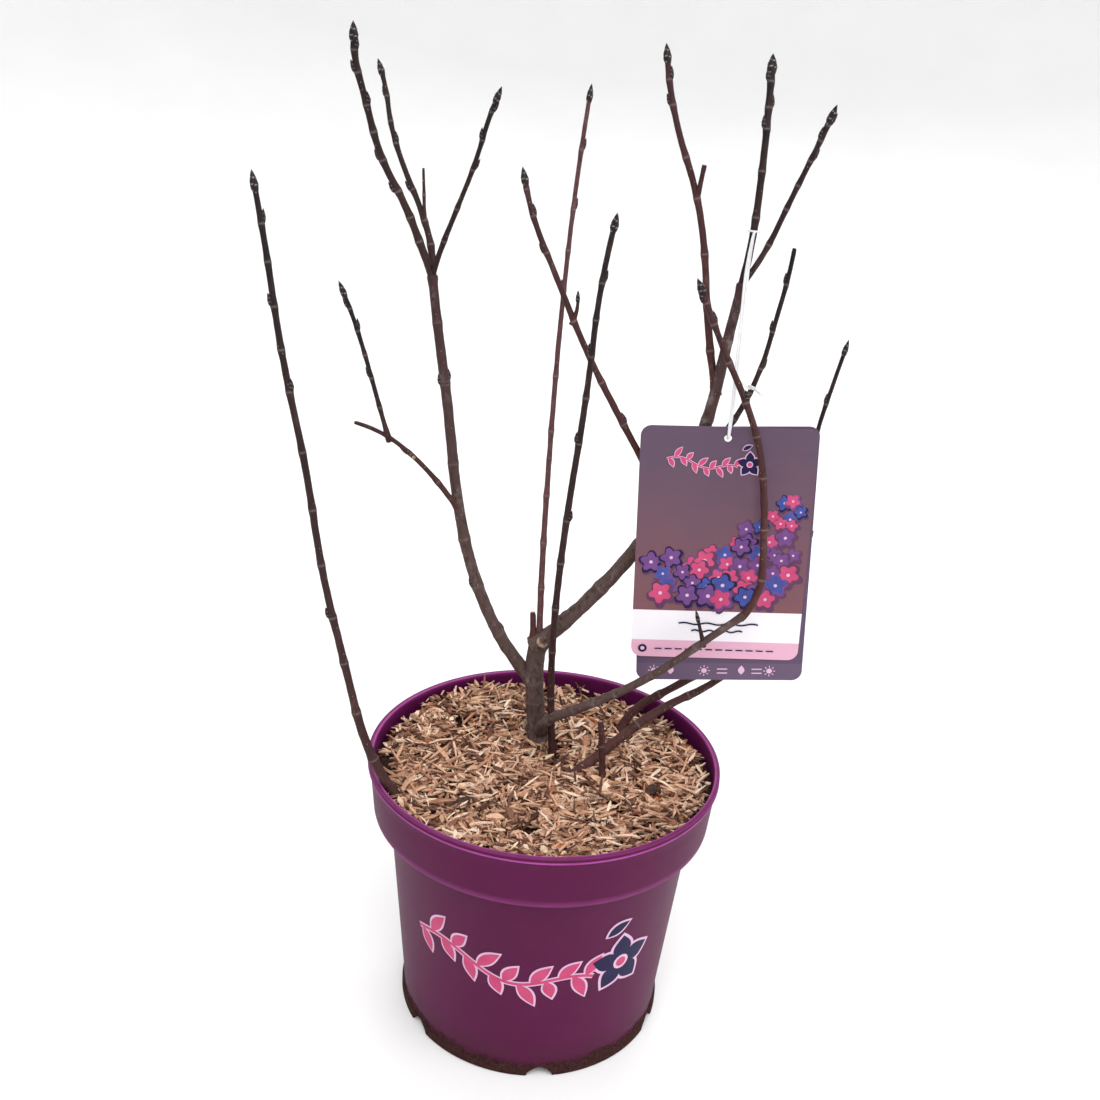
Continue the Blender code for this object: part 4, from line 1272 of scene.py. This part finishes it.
def make_label(inks):
    """Two printed leaves, with strewn blossoms, a garland and plain marks of the maker's own."""
    behind = LABEL_THICK + CLEAR
    front = label_finish("label_front_print", (rgb(84, 66, 84), rgb(112, 72, 78)), (
        (101.0, 118.5, rgb(222, 219, 224)), (118.5, 128.6, rgb(206, 158, 180))))
    back = label_finish("label_back_print", (rgb(88, 64, 86), rgb(84, 66, 90)), (
        (132.0, 142.2, rgb(92, 74, 98)),))
    label_leaf("label_front_leaf", FRONT_LEAF_DROP, LABEL_LEAN, 0, front, ("label_front",))
    label_leaf("label_back_leaf", BACK_LEAF_DROP, BACK_LEAF_LEAN, behind, back, ("label_back",))
    plums, violets, pinks, blues, darks, pales = prints(on_label(LABEL_LEAN, 0), 6)
    strew_blossoms(plums, violets, pinks, blues, darks, pales)
    garland(pales, pinks, darks, (-31, -17), 0.36, 12)
    darks.stroke(-20, -108.2, 42, 0.45, 0.5, 40)
    darks.stroke(-13, -112.4, 27, 0.45, 0.5, 40)
    darks.disc(-38.5, -123.4, 2.3, PRINT_LIFT)
    pales.disc(-38.5, -123.4, 1.1, PRINT_LIFT)
    for count in range(12):
        darks.stroke(-32 + count * 5.4, -123.4, 3.8)
    marks, = prints(on_label(BACK_LEAF_LEAN, behind), 1)
    care_marks(marks, -136.4)
    rims, leaves, blossom = prints(on_label(BACK_LEAF_LEAN, behind, -1), 3)
    garland(rims, leaves, blossom, (-36, -26), 0.6, 12)
    for row, length in enumerate((66, 70, 61, 68, 43, 70, 52)):
        rims.stroke(-34, -52 - 7.5 * row, length)
    care_marks(rims, -124.0)
    for name, shapes, ink in (
            ("label_print_plums", plums, "plum"), ("label_print_violets", violets, "violet"),
            ("label_print_pinks", pinks, "pink"), ("label_print_blues", blues, "blue"),
            ("label_print_darks", darks, "navy"), ("label_pale_marks", pales, "pale"),
            ("label_back_marks", marks, "pale"), ("label_reverse_marks", rims, "pale"),
            ("label_reverse_leaves", leaves, "pink"), ("label_reverse_blossom", blossom, "navy")):
        shapes.piece(name, inks[ink], "label_film")


def smooth_path(route, closed, parts=6):
    """Places along a smooth curve through a route, with so many parts between two of its points."""
    path = []
    count = len(route)
    for step in range(count if closed else count - 1):
        before = route[(step - 1) % count] if closed or step else route[0]
        here, there = route[step], route[(step + 1) % count]
        after = route[(step + 2) % count] if closed or step + 2 < count else there
        for part in range(parts):
            t = part / parts
            path.append(0.5 * ((2 * here) + (there - before) * t
                               + (2 * before - 5 * here + 4 * there - after) * t * t
                               + (3 * here - before - 3 * there + after) * t ** 3))
    return path if closed else path + [route[-1]]


def sweep(points, faces, route, radii, sides, flat=1.0, closed=False):
    """Add a round or flattened strand through a smooth route; radii are at its two ends."""
    path = smooth_path(route, closed)
    first, count = len(points), len(path)
    for step, centre in enumerate(path):
        ahead = path[(step + 1) % count] if closed or step + 1 < count else centre
        behind = path[step - 1] if closed or step else centre
        along = (ahead - behind).normalized()
        right = Vector((0, 1, 0)).cross(along)
        right = right.normalized() if right.length > 0.05 else Vector((1, 0, 0))
        back = along.cross(right).normalized()
        radius = radii[0] + (radii[1] - radii[0]) * step / (count - 1)
        points.extend(ring_round(centre, right, back * flat, [radius] * sides))
    if closed:
        faces.extend(quads_over(first, count, sides, looped=True))
    else:
        faces.extend(tube_faces(first, count, sides))


def make_tie(finish):
    """A thin plastic tie: a ring round the leader, two flattened strands and a knot with frayed ends."""
    leader, twig = LIMBS["right_leader"], LIMBS["right_back"]
    points, faces = [], []
    middle = limb_point(leader, TIE_ON_LEADER)
    reach = between(leader.thick, TIE_ON_LEADER) / 2 + CLEAR + TIE_RADIUS
    ring = ring_round(middle, *square_to(heading(leader, TIE_ON_LEADER)), [reach] * 12)
    sweep(points, faces, ring, (TIE_RADIUS * 0.8, TIE_RADIUS * 0.8), 10, closed=True)
    hole = label_frame(LABEL_LEAN) @ Vector((HOLE_ASIDE, -HOLE_DROP, 0))
    front = middle + Vector((0, -reach, 0))
    for aside, depth in ((-0.5, 0.0), (0.7, 0.5)):
        shift = Vector((aside, depth, 0))
        route = [hole + Vector(step) for step in (
            (0, 3.0, 2.2), (0, 1.4, 0.0), (0, -1.3, 0.4), (aside * 0.5, -1.6, 6))]
        route += [hole.lerp(front, share) + Vector(step) + shift for share, step in (
            (0.3, (-0.2, -2.0, 0)), (0.55, (-0.8, -2.2, 0)), (0.8, (-1.4, -1.8, 0)))]
        route += [front + Vector((-0.7, -0.8, -5)) + shift * 0.4, front]
        sweep(points, faces, route, (0.62, 0.62), 10, flat=0.55)
    knot = limb_point(twig, KNOT_ON_TWIG)
    reach = between(twig.thick, KNOT_ON_TWIG) / 2 + 0.55
    ring = ring_round(knot, *square_to(heading(twig, KNOT_ON_TWIG)), [reach] * 12)
    for rise in (0.0, 1.0):
        sweep(points, faces, [point + Vector((0, 0, rise)) for point in ring], (0.5, 0.5), 10, closed=True)
    for aside, rise, fall in ((-1, 3.2, 2.4), (1, -1.6, 1.4), (1, -2.9, -0.4)):
        route = [knot + Vector((aside * out, depth - reach, up)) for out, depth, up in (
            (1.2, 0.0, 0.4), (3.4, -1.0, rise * 0.5), (5.6, -0.6, rise * 0.8 + fall * 0.3),
            (7.6, 0.6, rise + fall * 0.2))]
        sweep(points, faces, route, (0.5, 0.16), 8, flat=0.6)
    make_piece("tie_loop", points, faces, finish, ("label_tie",))


# Studio

def make_camera():
    yaw, pitch, roll = CAMERA_YAW, math.radians(CAMERA_PITCH), math.radians(CAMERA_ROLL)
    ahead = Vector((math.sin(yaw) * math.cos(pitch), math.cos(yaw) * math.cos(pitch), -math.sin(pitch)))
    level_right = ahead.cross(Vector((0, 0, 1))).normalized()
    level_up = level_right.cross(ahead)
    right = level_right * math.cos(roll) + level_up * math.sin(roll)
    up = level_up * math.cos(roll) - level_right * math.sin(roll)
    lens = bpy.data.cameras.new("studio_camera")
    lens.sensor_width = SENSOR
    lens.lens = FOCAL_PIXELS * SENSOR / PHOTO_SIZE
    lens.clip_start = 0.01
    camera = in_scene("studio_camera", lens)
    turned = Matrix((right, up, -ahead)).transposed().to_4x4()
    camera.matrix_world = Matrix.Translation(Vector(CAMERA_PLACE) * MM) @ turned
    bpy.context.scene.camera = camera


def make_floor(finish):
    """Pale paper that turns up all round, far from the pot."""
    profile = [(0, 0), (600, 0), (PAPER_FLAT, 0)]
    for step in range(1, PAPER_STEPS + 1):
        turn = math.pi / 2 * step / PAPER_STEPS
        profile.append((PAPER_FLAT + PAPER_CURVE * math.sin(turn), PAPER_CURVE * (1 - math.cos(turn))))
    profile.append((PAPER_FLAT + PAPER_CURVE, PAPER_CURVE + PAPER_RISE))
    mesh = turned_mesh("paper_floor", profile, PAPER_SIDES)
    mesh.materials.append(finish)
    mesh.shade_smooth()
    in_scene("paper_floor", mesh)


def make_light(name, place, size, power):
    lamp = bpy.data.lights.new(name, "AREA")
    lamp.shape = "DISK"
    lamp.size = size
    lamp.energy = power
    light = in_scene(name, lamp)
    aim = Vector(LIGHT_AIM) - Vector(place)
    light.matrix_world = Matrix.Translation(place) @ aim.to_track_quat("-Z", "Y").to_matrix().to_4x4()


def make_studio():
    make_camera()
    make_floor(floor_finish())
    world = bpy.data.worlds.new("soft_daylight")
    world.use_nodes = True
    sky = world.node_tree.nodes["Background"]
    sky.inputs["Color"].default_value = (1, 1, 1, 1)
    sky.inputs["Strength"].default_value = SKY_STRENGTH
    bpy.context.scene.world = world
    for light in LIGHTS:
        make_light(*light)
    bpy.context.scene.view_settings.view_transform = "Standard"


make_studio()
old_bark, twig_bark, mauve_bark, red_bark = (
    bark_finish(name, rgb(*young), rgb(*old), rgb(*skin), silver) for name, young, old, skin, silver in (
        ("old_bark", (54, 32, 34), (86, 69, 65), (148, 138, 136), 0.8),
        ("twig_bark", (18, 9, 12), (84, 50, 48), (120, 100, 100), 0.2),
        ("mauve_bark", (66, 36, 42), (100, 66, 66), (146, 124, 124), 0.3),
        ("red_bark", (44, 18, 22), (90, 52, 50), (132, 110, 108), 0.25)))
make_limbs({
    "old_bark": old_bark, "twig_bark": twig_bark, "centre_shoot": mauve_bark,
    "crossing_twigs": red_bark, "right_inner_twigs": red_bark, "front_bough_high": red_bark,
    "bud": bud_finish(), "cut": cut_wood_finish(),
})
make_pot(pot_finish())
make_soil(crumbly_finish("damp_soil", 0.95, 0.2, 3.0, 8.0, 2.5, (
    (0.3, rgb(20, 12, 11)), (0.55, rgb(52, 33, 26)), (0.75, rgb(104, 72, 54)))))
make_chips(chip_finish())
make_scraps(crumbly_finish("dead_leaf", 0.8, 0.25, 2.0, 6.0, 0.6, (
    (0.3, rgb(30, 22, 20)), (0.7, rgb(84, 60, 50)))))
inks = {name: print_finish(name + "_ink", rgb(*first), rgb(*second), size) for name, first, second, size in (
    ("pale", (196, 158, 186), (212, 176, 200), 6.0), ("pink", (164, 44, 86), (196, 84, 124), 8.0),
    ("navy", (20, 16, 50), (32, 26, 68), 6.0), ("blue", (38, 44, 104), (72, 88, 160), 5.0),
    ("violet", (84, 52, 106), (116, 74, 132), 5.0), ("plum", (78, 44, 74), (94, 60, 88), 6.0))}
make_pot_print(inks)
make_label(inks)
make_tie(tie_finish())
